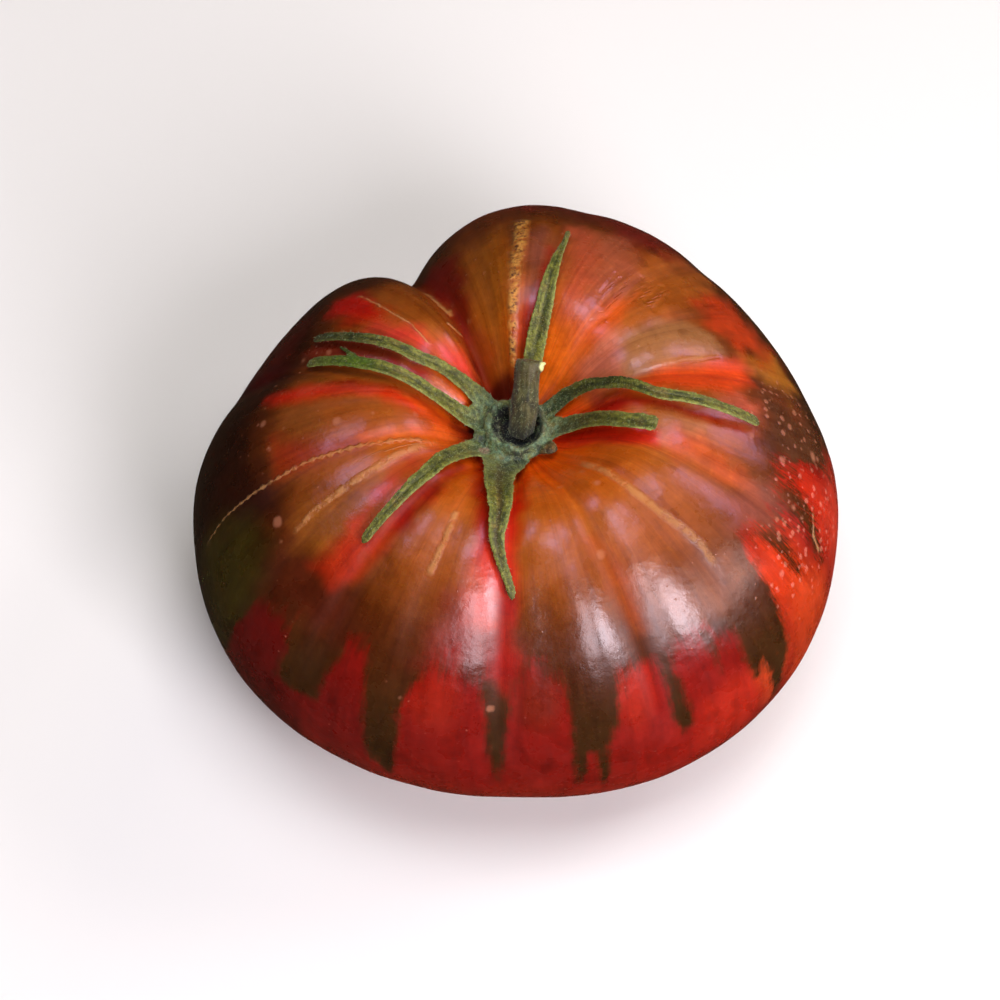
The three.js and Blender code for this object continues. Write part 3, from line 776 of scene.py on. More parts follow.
class Graph:
    """Short names for the nodes of one material."""

    def __init__(self, name):
        self.material = bpy.data.materials.new(name)
        self.shader = shader_of(self.material)
        self.tree = self.material.node_tree

    def node(self, kind, **sockets):
        made = self.tree.nodes.new(kind)
        for key, value in sockets.items():
            self.set(made.inputs[key], value)
        return made

    def set(self, socket, value):
        if isinstance(value, bpy.types.NodeSocket):
            self.tree.links.new(value, socket)
        else:
            socket.default_value = value

    def read(self, name, output="Fac"):
        made = self.tree.nodes.new("ShaderNodeAttribute")
        made.attribute_name = name
        return made.outputs[output]

    def math(self, operation, a, b=0.0, c=0.0):
        made = self.tree.nodes.new("ShaderNodeMath")
        made.operation = operation
        for socket, value in zip(made.inputs, (a, b, c)):
            self.set(socket, value)
        return made.outputs[0]

    def vector(self, operation, a, b=(0, 0, 0)):
        made = self.tree.nodes.new("ShaderNodeVectorMath")
        made.operation = operation
        self.set(made.inputs[0], a)
        self.set(made.inputs[1], b)
        return made.outputs[0]

    def band(self, x, low, high, to_low=0.0, to_high=1.0):
        made = self.tree.nodes.new("ShaderNodeMapRange")
        made.interpolation_type = "SMOOTHSTEP"
        for socket, value in zip(made.inputs, (x, low, high, to_low, to_high)):
            self.set(socket, value)
        return made.outputs[0]

    def noise(self, place, scale, detail=2.0, roughness=0.5, output="Fac"):
        made = self.node("ShaderNodeTexNoise", Scale=scale, Detail=detail, Roughness=roughness)
        self.set(made.inputs["Vector"], place)
        return made.outputs[output]

    def mix(self, factor, a, b, blend="MIX"):
        made = self.tree.nodes.new("ShaderNodeMix")
        made.data_type = "RGBA"
        made.blend_type = blend
        self.set(made.inputs[0], factor)
        for socket, value in zip((made.inputs[6], made.inputs[7]), (a, b)):
            if not isinstance(value, bpy.types.NodeSocket):
                value = (*[float(v) for v in value], 1.0)
            self.set(socket, value)
        return made.outputs[2]

    def tint(self, factor, colour, by):
        """The colour multiplied by another one, as far as the factor says."""
        return self.mix(factor, colour, self.mix(1.0, colour, by, "MULTIPLY"))

    def bump(self, height, distance, strength=1.0, under=None):
        made = self.node("ShaderNodeBump", Strength=strength, Distance=distance)
        self.set(made.inputs["Height"], height)
        if under is not None:
            self.set(made.inputs["Normal"], under)
        return made.outputs["Normal"]


def tomato_skin():
    g = Graph("tomato_skin")
    place = g.node("ShaderNodeNewGeometry").outputs["Position"]
    flat = g.vector("MULTIPLY", place, (1, 1, 0))
    compass = g.vector("NORMALIZE", flat)
    streak_place = g.vector("ADD", g.vector("MULTIPLY", compass, (30, 30, 0)),
                            g.vector("MULTIPLY", place, (0, 0, 90)))
    streaks = g.noise(streak_place, 1.0, 4.0, 0.6)
    fine_streaks = g.noise(streak_place, 3.2, 3.0, 0.6)
    mottle = g.noise(place, 220, 4.0, 0.55)
    grain = g.noise(place, 1400, 2.0, 0.6)

    # red below the ragged edge of the green-brown, green-brown above it
    dapple = g.noise(place, 640, 3.0, 0.65)
    ragged = g.math("MULTIPLY_ADD", streaks, 1.6, g.math("ADD", g.read("brown_by"), -0.8))
    ragged = g.math("MULTIPLY_ADD", dapple, 1.8, g.math("ADD", ragged, -0.9))
    broken = g.math("ADD", g.noise(streak_place, 5.0, 4.0, 0.7), -0.5)
    broken_by = g.math("MULTIPLY_ADD", g.read("freckled"), 8.0, 1.2)
    ragged = g.math("MULTIPLY_ADD", broken, broken_by, ragged)
    brown = g.band(ragged, -1.1, 1.2)
    colour = g.mix(brown, g.read("ripe", "Color"), g.read("unripe", "Color"))
    colour = g.tint(g.band(streaks, 0.42, 0.72, 0.0, 0.45), colour, (0.50, 0.38, 0.36))
    colour = g.tint(g.band(fine_streaks, 0.48, 0.72, 0.0, 0.45), colour, (1.30, 1.45, 1.5))
    colour = g.tint(g.band(mottle, 0.50, 0.75, 0.0, 0.5), colour, (1.45, 1.5, 1.4))
    colour = g.tint(g.band(mottle, 0.48, 0.28, 0.0, 0.5), colour, (0.55, 0.50, 0.50))
    colour = g.tint(g.band(dapple, 0.55, 0.75, 0.0, 0.4), colour, (1.3, 1.6, 1.8))
    colour = g.tint(g.band(grain, 0.45, 0.75, 0.0, 0.35), colour, (0.6, 0.6, 0.6))

    # marks along lines: pale stitches, streaks and brown cork
    along = g.read("along")
    bead = g.math("MULTIPLY", g.math("SINE", g.math("MULTIPLY", along, 3.9)), g.read("beaded"))
    width = g.math("MULTIPLY_ADD", bead, 0.40, 0.85)
    wobble = g.math("MULTIPLY_ADD", g.noise(place, 900, 3.0, 0.6), 0.7, -0.35)
    off_line = g.math("ABSOLUTE", g.math("ADD", g.read("across"), wobble))
    wide = g.math("MULTIPLY", g.read("half_width"), width)
    inside = g.math("DIVIDE", off_line, wide)
    creased = g.read("creased")
    mark = g.math("MULTIPLY", g.band(inside, 1.5, 0.3), g.read("near_mark"))
    mark = g.math("MULTIPLY", mark, g.math("SUBTRACT", 1.0, creased))
    patchy = g.band(g.noise(place, 520, 3.0, 0.65), 0.34, 0.55, 0.25, 1.0)
    mark = g.math("MULTIPLY", mark, patchy)
    pale = g.mix(g.noise(place, 700, 2.0), rgb(168, 104, 44), rgb(204, 152, 92))
    cork_grain = g.band(g.noise(place, 1300, 3.0, 0.7), 0.34, 0.56)
    cork = g.mix(cork_grain, rgb(70, 34, 8), rgb(196, 136, 56))
    dark_side = g.band(g.math("DIVIDE", g.read("across"), wide), 0.1, 0.8)
    dark_side = g.math("MULTIPLY", dark_side, g.band(along, 14.0, 26.0))
    cork = g.mix(g.math("MULTIPLY", dark_side, 0.85), cork, rgb(46, 26, 8))
    corky = g.read("corky")
    colour = g.mix(g.math("MULTIPLY", mark, g.band(corky, 0.0, 0.9, 0.5, 0.95)), colour,
                   g.mix(g.band(corky, 0.5, 0.9), pale, cork))

    # round specks, and freckles scattered by cells
    speck = g.band(g.math("ADD", g.read("from_speck"), g.math("MULTIPLY", wobble, 0.8)), 0.25, -0.35)
    cells = g.node("ShaderNodeTexVoronoi", Scale=780.0, Randomness=1.0)
    g.set(cells.inputs["Vector"], place)
    cell = g.node("ShaderNodeSeparateColor")
    g.set(cell.inputs[0], cells.outputs["Color"])
    bare = g.math("SUBTRACT", 1.0, g.read("freckled"))
    size = g.math("MULTIPLY", g.math("SUBTRACT", cell.outputs[0], bare), 0.42)
    uneven = g.math("MULTIPLY_ADD", g.noise(place, 2400, 2.0, 0.6), 0.5, -0.25)
    from_cell = g.math("ADD", cells.outputs["Distance"], uneven)
    freckle = g.band(g.math("SUBTRACT", from_cell, size), 0.12, -0.12)
    freckle = g.math("MULTIPLY", freckle, g.band(size, 0.0, 0.05))
    dots = g.math("MAXIMUM", g.math("MULTIPLY", speck, 0.45), g.math("MULTIPLY", freckle, 0.42))
    colour = g.mix(dots, colour, g.mix(brown, rgb(226, 128, 104), rgb(190, 118, 84)))
    g.set(g.shader.inputs["Base Color"], colour)

    # thin skin over wet flesh: light runs red under it
    g.shader.inputs["Subsurface Weight"].default_value = 0.14
    g.shader.inputs["Subsurface Radius"].default_value = (1.0, 0.24, 0.08)
    g.shader.inputs["Subsurface Scale"].default_value = 0.0022
    g.shader.inputs["IOR"].default_value = 1.42
    gloss = g.band(mottle, 0.3, 0.8, 0.25, 0.34)
    gloss = g.math("MULTIPLY_ADD", g.math("MAXIMUM", mark, dots), 0.35, gloss)
    gloss = g.math("MULTIPLY_ADD", g.read("dulled"), 0.35, gloss)
    g.set(g.shader.inputs["Roughness"], gloss)
    g.set(g.shader.inputs["Specular IOR Level"], g.math("MULTIPLY_ADD", g.read("dulled"), -0.42, 0.5))

    # raised marks, pressed wrinkles, pores and a faint unevenness that bends the reflections
    height = g.math("MULTIPLY_ADD", mark, 0.6, g.math("MULTIPLY", freckle, 0.25))
    crease = g.math("MULTIPLY", g.band(inside, 1.6, 0.1), g.math("MULTIPLY", creased, g.read("near_mark")))
    height = g.math("SUBTRACT", height, g.math("MULTIPLY", crease, 0.35))
    normal = g.bump(height, 0.00022)
    normal = g.bump(g.noise(place, 130, 3.0, 0.5), 0.0009, 0.35, normal)
    normal = g.bump(grain, 0.00006, 0.5, normal)
    g.set(g.shader.inputs["Normal"], normal)
    return g.material


fruit.data.materials.append(tomato_skin())
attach(fruit, "root")
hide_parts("fruit")


# The calyx: seven fleshy green sepals grown from one ring round the stalk, hairy and channelled
# along the middle; their thin edges are paler, partly their own colour and partly a painted
# highlight. One was snapped off square by a knock.
skin_gap = 0.35
sepal_clearance = 0.1
sepal_root = 4.5
sepal_thickness = 0.8
sepal_channel = 0.16
flare_until = 0.28
taper_from = 0.2
taper_power = 1.1
arch_power = 0.7
hook_from = 0.7
# name, azimuth at the cup and further out, share of the length taken by that turn, full length and
# where it ends in plan, width, flare at the cup, arch, share of the width left at the tip, hook
sepals = [
    ("back_left", 138, 154, 0.45, 36.5, 36.5, 2.3, 0.5, 1.7, 0.75, 0),
    ("left", 172, 162, 1.0, 35.5, 35.5, 2.5, 0.5, 1.6, 0.75, 0),
    ("front_left", 212, 224.5, 0.55, 33.5, 33.5, 2.9, 0.4, 1.0, 0.55, 0),
    ("front", 251, 262, 0.6, 32.5, 32.5, 4.8, 0.5, 1.0, 0.30, 6),
    ("snapped", 357, 343, 0.42, 37.0, 22.3, 2.8, 0.2, 2.8, 0.90, 0),
    ("right", 36, -1.8, 0.55, 38.0, 38.0, 2.3, 0.3, 2.0, 0.80, 0),
    ("back", 78, 76, 0.45, 35.0, 35.0, 3.2, -0.2, 1.0, 0.25, 0),
]
cup_floor_radius = 2.9
cup_inner_radius = 4.0
cup_skirt_radius = 6.1
cup_belly = 0.45
cup_thickness = 1.1
cup_skirt_thickness = 0.8
cup_rim_height = 4.7


def skin_height(azimuth, plan):
    """Height of the upper skin over places in plan, found by halving the latitude."""
    azimuth, plan = np.broadcast_arrays(np.asarray(azimuth, float), np.asarray(plan, float))
    low = np.full(azimuth.shape, 5.0)
    high = np.full(azimuth.shape, 90.0)
    for _ in range(26):
        middle = (low + high) / 2
        point = skin_point(azimuth, middle)
        outside = np.hypot(point[..., 0], point[..., 1]) > plan
        low = np.where(outside, middle, low)
        high = np.where(outside, high, middle)
    return skin_point(azimuth, (low + high) / 2)[..., 2]


def sepal_spine(sepal, sections):
    """Middle line of a sepal: share of its full length, half width, points, directions across."""
    name, start, end, turn, full, reach, width, flare_extra, lift, tip, hook = sepal
    plan = np.linspace(sepal_root, reach, sections)
    share = (plan - sepal_root) / (full - sepal_root)
    azimuth = start + (end - start) * ease(0, turn, share) + hook * ease(hook_from, 1, share)
    flare = 1 + flare_extra * (1 - ease(0, flare_until, share))
    half = width / 2 * flare * (1 - (1 - tip) * ease(taper_from, 1, share) ** taper_power)
    swing = np.degrees(half / plan)
    skin_under = np.max([skin_height(azimuth + k * swing, plan) for k in (-1, 0, 1)], axis=0)
    arch = lift * np.sin(np.pi * np.minimum(share, 1)) ** arch_power
    height = skin_under + skin_gap + sepal_clearance + sepal_thickness / 2 + arch
    angle = np.radians(azimuth)
    spine = np.stack([plan * np.cos(angle), plan * np.sin(angle), height], -1)
    sideways = np.stack([-np.sin(angle), np.cos(angle), 0 * angle], -1)
    return share, half, spine, sideways


def closed_shell(rings):
    """The points of a tube of rings, and the middles of its two ends."""
    ends = np.array([rings[0].mean(axis=0), rings[-1].mean(axis=0)])
    return np.concatenate([rings.reshape(-1, 3), ends])


green_points = []
green_faces = []


def add_shell(rings):
    """Adds a closed tube of rings to the green of the calyx."""
    first = sum(len(p) for p in green_points)
    green_faces.extend(shell_faces(len(rings), len(rings[0]), first))
    green_points.append(closed_shell(rings))


sections = 110
around = 28
edge_spread = 1.10
groove_depth = 0.22
groove_half_width = 0.16
vein_height = 0.05
upwards = np.array([0, 0, 1])
spines = []
for number, sepal in enumerate(sepals):
    share, half, spine, sideways = sepal_spine(sepal, sections)
    spines.append((share, half, spine, sideways))
    walk = np.stack([share * 7, np.full(sections, number * 3.7), 0 * share], -1)
    snapped = sepal[0] == "snapped"
    rounding = 0.8 if snapped else 1.1
    left = (sepal[5] - sepal_root) / sections * np.arange(sections)[::-1]
    blunt = np.sqrt(np.clip(1 - (1 - np.minimum(left / rounding, 1)) ** 2, 0.03, 1))
    if snapped:
        blunt = np.clip(blunt, 0.75, 1)
    wander = 0.12 * ease(0.1, 0.4, share) * field(walk, 1.0, 21)
    spine = spine + sideways * wander[:, None]
    spine[:, 2] += 0.16 * ease(0.15, 0.4, share) * (0.5 + 0.5 * field(walk + 9, 0.8, 22))
    turn = np.arange(around) * 2 * np.pi / around
    u = np.sign(np.cos(turn)) * np.abs(np.cos(turn)) ** 0.9
    upper = np.sin(turn)
    rings_here = []
    for k in range(sections):
        edge_place = np.stack([walk[k, 0] * 2.2 + 0 * u, number * 5 + 3 * np.sign(u), 0 * u], -1)
        edges = edge_spread + 0.03 * field(edge_place, 1.0, 23)
        wide = half[k] * edges * blunt[k]
        curl = sepal_channel * half[k] * 2 * np.abs(u) ** 1.5
        thick = sepal_thickness / 2 * (1 - 0.45 * u * u) * (0.55 + 0.45 * blunt[k])
        raise_by = curl + thick * upper
        groove = groove_depth * np.exp(-((u / groove_half_width) ** 2)) * (upper > 0)
        groove *= 1 - ease(0.75, 0.95, share[k])
        veins = vein_height * np.sin(9 * share[k] * sepal[4] / 6 - 5 * np.abs(u))
        veins *= np.abs(u) * (upper > 0)
        raise_by = raise_by - groove + veins
        to_edge = sideways[k] * (u * wide)[:, None]
        rings_here.append(spine[k] + to_edge + upwards * raise_by[:, None])
    add_shell(np.array(rings_here)[:, ::-1])

# the cup: a low wall whose rim rises with each sepal, and whose skirt runs out into them
cup_sides = 180
cup_azimuth = np.arange(cup_sides) * 360 / cup_sides
near_sepal = np.max([np.exp(-((turn_between(cup_azimuth, s[1]) / 17) ** 2)) for s in sepals], axis=0)
cup_floor = float(skin_point(0, 90)[2]) + skin_gap
skirt_height = float(skin_height(cup_azimuth, cup_skirt_radius).max()) + skin_gap
cup_place = np.stack([np.cos(np.radians(cup_azimuth)), np.sin(np.radians(cup_azimuth)),
                      0 * cup_azimuth], -1)
lumps = field(cup_place * 3.0, 1.0, 31)
rim = cup_floor + cup_rim_height - 0.9 * (1 - near_sepal) + 0.25 * (lumps - 1)
skirt = cup_skirt_radius - 0.7 * (1 - near_sepal)
off_centre = 0.4 * np.cos(np.radians(cup_azimuth - 190))
opening = cup_inner_radius + off_centre + 0.3 * field(cup_place * 2.2, 1.0, 32)
outer = opening + 0.8 + 0.25 * near_sepal
belly_height = cup_floor + (skirt_height - cup_floor) * cup_belly
profile = [
    (0.5 + 0 * rim, cup_floor + 0 * rim),
    (cup_floor_radius + 0 * rim, belly_height + 0 * rim),
    (skirt, skirt_height + 0 * rim),
    (skirt + 0.1, skirt_height + 0.4 + 0 * rim),
    (skirt, skirt_height + cup_skirt_thickness + 0.5 * near_sepal),
    (outer + 0.35, (rim + skirt_height) / 2),
    (outer, rim - 0.45),
    (outer - 0.3, rim),
    (opening + 0.1, rim),
    (opening - 0.1, rim - 0.5),
    (cup_floor_radius + 0.4 + 0 * rim, cup_floor + 2.6 + 0 * rim),
    (cup_floor_radius + 0 * rim, cup_floor + cup_thickness + 0 * rim),
    (0.5 + 0 * rim, cup_floor + cup_thickness + 0 * rim),
]
add_shell(np.array([
    np.stack([r * np.cos(np.radians(cup_azimuth)), r * np.sin(np.radians(cup_azimuth)), z], -1)
    for r, z in profile]))

# flesh between sepals that stay joined past the cup: azimuth, reach, half width
webs = [(156, 8.6, 1.9), (194, 7.4, 1.3), (236, 7.6, 1.2), (322, 7.7, 1.7), (8, 7.6, 1.4)]
web_sides = 16
for at, reach, wide in webs:
    plan = np.linspace(sepal_root - 0.5, reach, 14)
    share = (plan - plan[0]) / (reach - plan[0])
    angle = np.radians(at)
    out_way = np.array([math.cos(angle), math.sin(angle), 0])
    side_way = np.array([-math.sin(angle), math.cos(angle), 0])
    height = skin_height(at, plan) + skin_gap + 1.0 - 0.3 * share + 0.9 * np.sin(np.pi * share * 0.8)
    size = np.sqrt(np.clip(1 - share ** 2.5, 0.02, 1))
    turn = np.arange(web_sides) * 2 * np.pi / web_sides
    add_shell(np.array([
        p * out_way + side_way * (wide * s * np.cos(turn))[:, None]
        + upwards * (h + 0.7 * s * np.sin(turn))[:, None]
        for p, s, h in zip(plan, size, height)])[:, ::-1])

# a sliver torn loose between the two left sepals, and its own small tooth: azimuth, latitude and
# height over the skin at both ends, and half thickness
slivers = [
    ((162.8, 61.0, 2.0), (156.4, 53.2, 1.2), 0.75),
    ((160.6, 58.0, 1.9), (161.2, 54.2, 1.6), 0.55),
]
for start, end, thick in slivers:
    first_point, last_point = (skin_point(a, b) + (0, 0, up) for a, b, up in (start, end))
    way = last_point - first_point
    across_way = np.cross(way, (0, 0, 1)) / np.linalg.norm(way)
    share = np.linspace(0, 1, 10)
    turn = np.arange(10) * 2 * np.pi / 10
    round_it = np.cos(turn)[:, None] * across_way + 0.7 * np.sin(turn)[:, None] * upwards
    add_shell(np.array([
        first_point + way * s + 0.3 * math.sin(math.pi * s) * across_way
        + thick * (1 - 0.6 * s) * round_it
        for s in share])[:, ::-1])

to_frame = np.array([axis_x, axis_y, 0])
raw_green = mesh_of("calyx_shells", (np.concatenate(green_points) + to_frame) * mm, green_faces)
fuse = raw_green.modifiers.new("fuse", "REMESH")
fuse.mode = "VOXEL"
fuse.voxel_size = 0.19 * mm
graph = bpy.context.evaluated_depsgraph_get()
fused = bpy.data.meshes.new_from_object(raw_green.evaluated_get(graph))
bpy.data.objects.remove(raw_green)
calyx = bpy.data.objects.new("calyx_leaves", fused)
bpy.context.collection.objects.link(calyx)


def coordinates(mesh):
    flat = np.empty(len(mesh.vertices) * 3)
    mesh.vertices.foreach_get("co", flat)
    return flat.reshape(-1, 3) / mm - to_frame


def smoothed(mesh, points, rounds, strength):
    """Moves each point towards the middle of its neighbours, by a strength for each point."""
    edges = np.empty(len(mesh.edges) * 2, int)
    mesh.edges.foreach_get("vertices", edges)
    edges = edges.reshape(-1, 2)
    count = np.bincount(edges.ravel(), minlength=len(points))[:, None]
    for _ in range(rounds):
        total = np.zeros_like(points)
        np.add.at(total, edges[:, 0], points[edges[:, 1]])
        np.add.at(total, edges[:, 1], points[edges[:, 0]])
        points = points + (total / np.maximum(count, 1) - points) * strength[:, None]
    return points


points = coordinates(fused)
from_axis = np.hypot(points[:, 0], points[:, 1])
points = smoothed(fused, points, 5, 0.18 + 0.6 * (1 - ease(6.5, 11.0, from_axis)))

# where each point lies on its sepal
spine_points = np.concatenate([s[2] for s in spines])
spine_share = np.concatenate([s[0] for s in spines])
spine_half = np.concatenate([s[1] for s in spines])
spine_side = np.concatenate([s[3] for s in spines])
spine_number = np.repeat(np.arange(len(spines)), sections)
nearest = np.empty(len(points), int)
at_once = 4000
for start in range(0, len(points), at_once):
    part = points[start:start + at_once, None, :2]
    distance = ((part - spine_points[None, :, :2]) ** 2).sum(-1)
    nearest[start:start + at_once] = distance.argmin(axis=1)
offset = points - spine_points[nearest]
side = (offset * spine_side[nearest]).sum(axis=1) / spine_half[nearest]

# a coarse granular skin
normal = np.empty(len(points) * 3)
fused.vertices.foreach_get("normal", normal)
normal = normal.reshape(-1, 3)
grains = 0.045 * field(points, 0.5, 41) + 0.02 * field(points, 1.3, 42)
points = points + normal * grains[:, None]
fused.vertices.foreach_set("co", ((points + to_frame) * mm).ravel())
fused.update()
for polygon in fused.polygons:
    polygon.use_smooth = True

paint(calyx, "share", spine_share[nearest])
paint(calyx, "side", side)
paint(calyx, "at_base", 1 - ease(5.0, 11.0, from_axis))
number = spine_number[nearest]
share_here = spine_share[nearest]
sepal_names = [sepal[0] for sepal in sepals]


def on_sepal(name):
    return number == sepal_names.index(name)


middle_share = (1 - ease(0.1, 0.45, np.abs(side))) * (1 - ease(0.7, 0.95, share_here))
browned = on_sepal("front") * middle_share * 0.5
browned += on_sepal("snapped") * (1 - ease(0.1, 0.35, share_here)) * 0.4
paint(calyx, "browned", browned)
# the dried flap at the right of the cup
compass = np.degrees(np.arctan2(points[:, 1], points[:, 0]))
flap = np.hypot(turn_between(compass, 320) / 22, (from_axis - 7.4) / 1.9)
paint(calyx, "dried", 1 - ease(0.7, 1.25, flap))
# bright green: the left sepal before its tip, and the torn sliver beside it
fresh = on_sepal("left") * ease(0.55, 0.7, share_here) * (1 - ease(0.9, 1.0, share_here))
fresh = fresh + (np.abs(side) > 1.6) * ease(12, 16, from_axis)
paint(calyx, "fresh", np.minimum(fresh, 1))
leaf_place = np.stack([share_here * 9, side * 1.3, number * 5.0], -1)
paint(calyx, "leaf_place", leaf_place)
# painted shade inside the cup; and darker green at the far ends of the two left sepals and at the foot of
# the right one
rim_level = cup_floor + cup_rim_height
painted_cup_shade = (1 - ease(3.7, 4.5, from_axis)) * (1 - ease(-1.0, 0.3, points[:, 2] - rim_level))
paint(calyx, "painted_cup_shade", painted_cup_shade)
dark = on_sepal("back_left") * ease(0.5, 0.8, share_here) * 0.8
dark += on_sepal("left") * ease(0.7, 0.9, share_here) * 0.25
dark += on_sepal("right") * (1 - ease(0.15, 0.4, share_here)) * 0.7
paint(calyx, "dark", dark)
# a pinkish bruise on the cup's skirt at the front left
pink_radius = 6.9
pink_angle = math.radians(219.4)
pink_spot = np.array([pink_radius * math.cos(pink_angle), pink_radius * math.sin(pink_angle)])
paint(calyx, "pinkish", 1 - ease(0.5, 1.1, np.linalg.norm(points[:, :2] - pink_spot, axis=1)))


def green_flesh():
    g = Graph("green_flesh")
    place = g.node("ShaderNodeNewGeometry").outputs["Position"]
    side = g.math("ABSOLUTE", g.read("side"))
    base = g.read("at_base")
    grain = g.noise(place, 1700, 3.0, 0.75)
    patch = g.noise(place, 900, 3.0, 0.65)
    blotch = g.noise(place, 330, 3.0, 0.6)
    lengthwise = g.noise(g.read("leaf_place", "Color"), 1.1, 3.0, 0.65)
    colour = g.mix(g.band(lengthwise, 0.36, 0.62), rgb(64, 72, 15), rgb(126, 128, 46))
    colour = g.mix(g.band(patch, 0.50, 0.34, 0.0, 0.5), colour, rgb(44, 52, 8))
    colour = g.mix(g.band(blotch, 0.50, 0.70, 0.0, 0.55), colour, rgb(126, 104, 40))
    # paler edges: partly their own colour, partly a painted highlight
    colour = g.mix(g.math("MULTIPLY", g.band(side, 0.55, 1.0), 0.6), colour, rgb(160, 166, 84))
    colour = g.mix(g.math("MULTIPLY", g.band(side, 0.30, 0.04), 0.45), colour, rgb(50, 54, 12))
    colour = g.mix(g.math("MULTIPLY", g.read("fresh"), 0.6), colour, rgb(84, 122, 12))
    colour = g.mix(g.math("MULTIPLY", g.band(g.read("share"), 0.75, 1.05), 0.4), colour, rgb(132, 126, 60))
    colour = g.mix(g.math("MULTIPLY", g.read("browned"), 0.8), colour, rgb(88, 58, 18))
    colour = g.mix(g.math("MULTIPLY", base, g.band(patch, 0.40, 0.60, 0.25, 0.95)), colour,
                   rgb(104, 132, 102))
    colour = g.mix(g.math("MULTIPLY", base, g.band(blotch, 0.50, 0.38, 0.0, 0.85)), colour, rgb(22, 30, 14))
    colour = g.mix(g.math("MULTIPLY", g.read("dried"), 0.85), colour,
                   g.mix(g.band(patch, 0.4, 0.6), rgb(56, 34, 10), rgb(128, 84, 28)))
    colour = g.mix(g.math("MULTIPLY", g.read("pinkish"), 0.8), colour, rgb(164, 128, 112))
    colour = g.mix(g.math("MULTIPLY", g.read("dark"), 0.75), colour, rgb(26, 34, 3))
    flecks = g.node("ShaderNodeTexVoronoi", Scale=2300.0, Randomness=1.0)
    g.set(flecks.inputs["Vector"], place)
    fleck = g.math("MULTIPLY", g.band(flecks.outputs["Distance"], 0.34, 0.10), g.band(patch, 0.42, 0.60))
    colour = g.mix(g.math("MULTIPLY", fleck, 0.5), colour, rgb(158, 164, 84))
    colour = g.tint(g.band(grain, 0.42, 0.60, 0.7, 0.0), colour, (0.32, 0.34, 0.30))
    # painted shade: the inside of the cup goes near black
    colour = g.mix(g.math("MULTIPLY", g.read("painted_cup_shade"), 0.97), colour, rgb(7, 8, 5))
    g.set(g.shader.inputs["Base Color"], colour)
    g.shader.inputs["Roughness"].default_value = 0.55
    g.shader.inputs["Specular IOR Level"].default_value = 0.25
    g.shader.inputs["Sheen Weight"].default_value = 0.05
    g.shader.inputs["Sheen Roughness"].default_value = 0.4
    height = g.math("MULTIPLY_ADD", grain, 0.8, g.math("MULTIPLY", fleck, 0.4))
    g.set(g.shader.inputs["Normal"], g.bump(height, 0.00025, 1.0))
    return g.material


calyx.data.materials.append(green_flesh())
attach(calyx, "root")
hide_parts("calyx")


# The stalk: the stub of the woody green stem, which leans back and swells at the joint where it
# parted from the plant. It is ribbed lengthwise, and its broken end is paler than its bark.
foot = np.array([0.4, 0, 55.4])
bend = np.array([1.0, 0.6, 62.4])
end = np.array([1.6, 5.8, 66.6])
stalk_radii = [2.1, 2.15, 2.2, 2.3, 2.35, 2.3, 2.15, 2.05, 2.1, 2.2, 2.05]
end_hollow = 0.5
stalk_rows = 90
stalk_sides = 96
t = np.linspace(0, 1, stalk_rows)[:, None]
middle_line = (1 - t) ** 2 * foot + 2 * t * (1 - t) * bend + t * t * end
tangent = 2 * (1 - t) * (bend - foot) + 2 * t * (end - bend)
tangent /= np.linalg.norm(tangent, axis=1, keepdims=True)
u_way = np.array([1.0, 0, 0]) - tangent * tangent[:, :1]
u_way /= np.linalg.norm(u_way, axis=1, keepdims=True)
v_way = np.cross(tangent, u_way)
turn = np.arange(stalk_sides) * 2 * np.pi / stalk_sides
radius = np.interp(t[:, 0], np.linspace(0, 1, len(stalk_radii)), stalk_radii)[:, None]
walk = np.stack([2.2 * np.cos(turn)[None] + 0 * t, 2.2 * np.sin(turn)[None] + 0 * t,
                 4.0 * t + 0 * turn[None]], -1)
ribs = 0.10 * np.cos(5 * turn + 0.6)[None] + 0.05 * np.cos(11 * turn + 2)[None]
knuckle = ease(0.68, 0.85, t)
rough = 0.10 * field(walk, 0.6, 51) + 0.22 * knuckle * field(walk + 5, 0.9, 52)
radius = radius - 0.16 + ribs * (1 - 0.5 * knuckle) + rough
radius = radius * (1 - 0.10 * ease(0.965, 1.0, t) ** 2)
rings_here = (
    middle_line[:, None]
    + u_way[:, None] * (radius * np.cos(turn)[None])[..., None]
    + v_way[:, None] * (radius * np.sin(turn)[None])[..., None]
)
# the broken end: rings that step in and down over torn fibres
last = rings_here[-1]
end_rings = []
for inward in (0.9, 0.78, 0.62, 0.45, 0.28, 0.12):
    ring = middle_line[-1] + (last - middle_line[-1]) * inward
    torn = 0.22 * field(ring, 0.7, 53) - 0.15
    down = end_hollow * (1 - inward) * 1.1 - 0.12 * (inward > 0.85)
    end_rings.append(ring + tangent[-1] * (torn - down)[:, None])
whole_stalk = np.concatenate([rings_here, np.array(end_rings)])
# the pale nub of torn fibre that stands out at the right of the joint, coloured near white, partly as a
# painted highlight
nub = middle_line[-1] + u_way[-1] * 2.0 - v_way[-1] * 0.5 - tangent[-1] * 0.55
nub_share = 1 - ease(0.5, 1.5, np.linalg.norm(whole_stalk - nub, axis=-1))
nub_way = u_way[-1] - 0.35 * v_way[-1]
nub_length = 0.75 * nub_share * (0.8 + 0.4 * field(whole_stalk, 0.6, 54))
whole_stalk = whole_stalk + nub_way * nub_length[..., None]
stalk_points = closed_shell(whole_stalk)
nub_share = np.append(nub_share.ravel(), [0, 0])
stalk_faces = shell_faces(len(whole_stalk), stalk_sides)
stalk = mesh_of("stalk_stub", (stalk_points + to_frame) * mm, stalk_faces)
along_stalk = np.concatenate([np.repeat(t[:, 0], stalk_sides),
                              np.full(len(end_rings) * stalk_sides, 1.1), [0, 1.1]])
paint(stalk, "share", along_stalk)
paint(stalk, "pale_nub_and_highlight", nub_share)
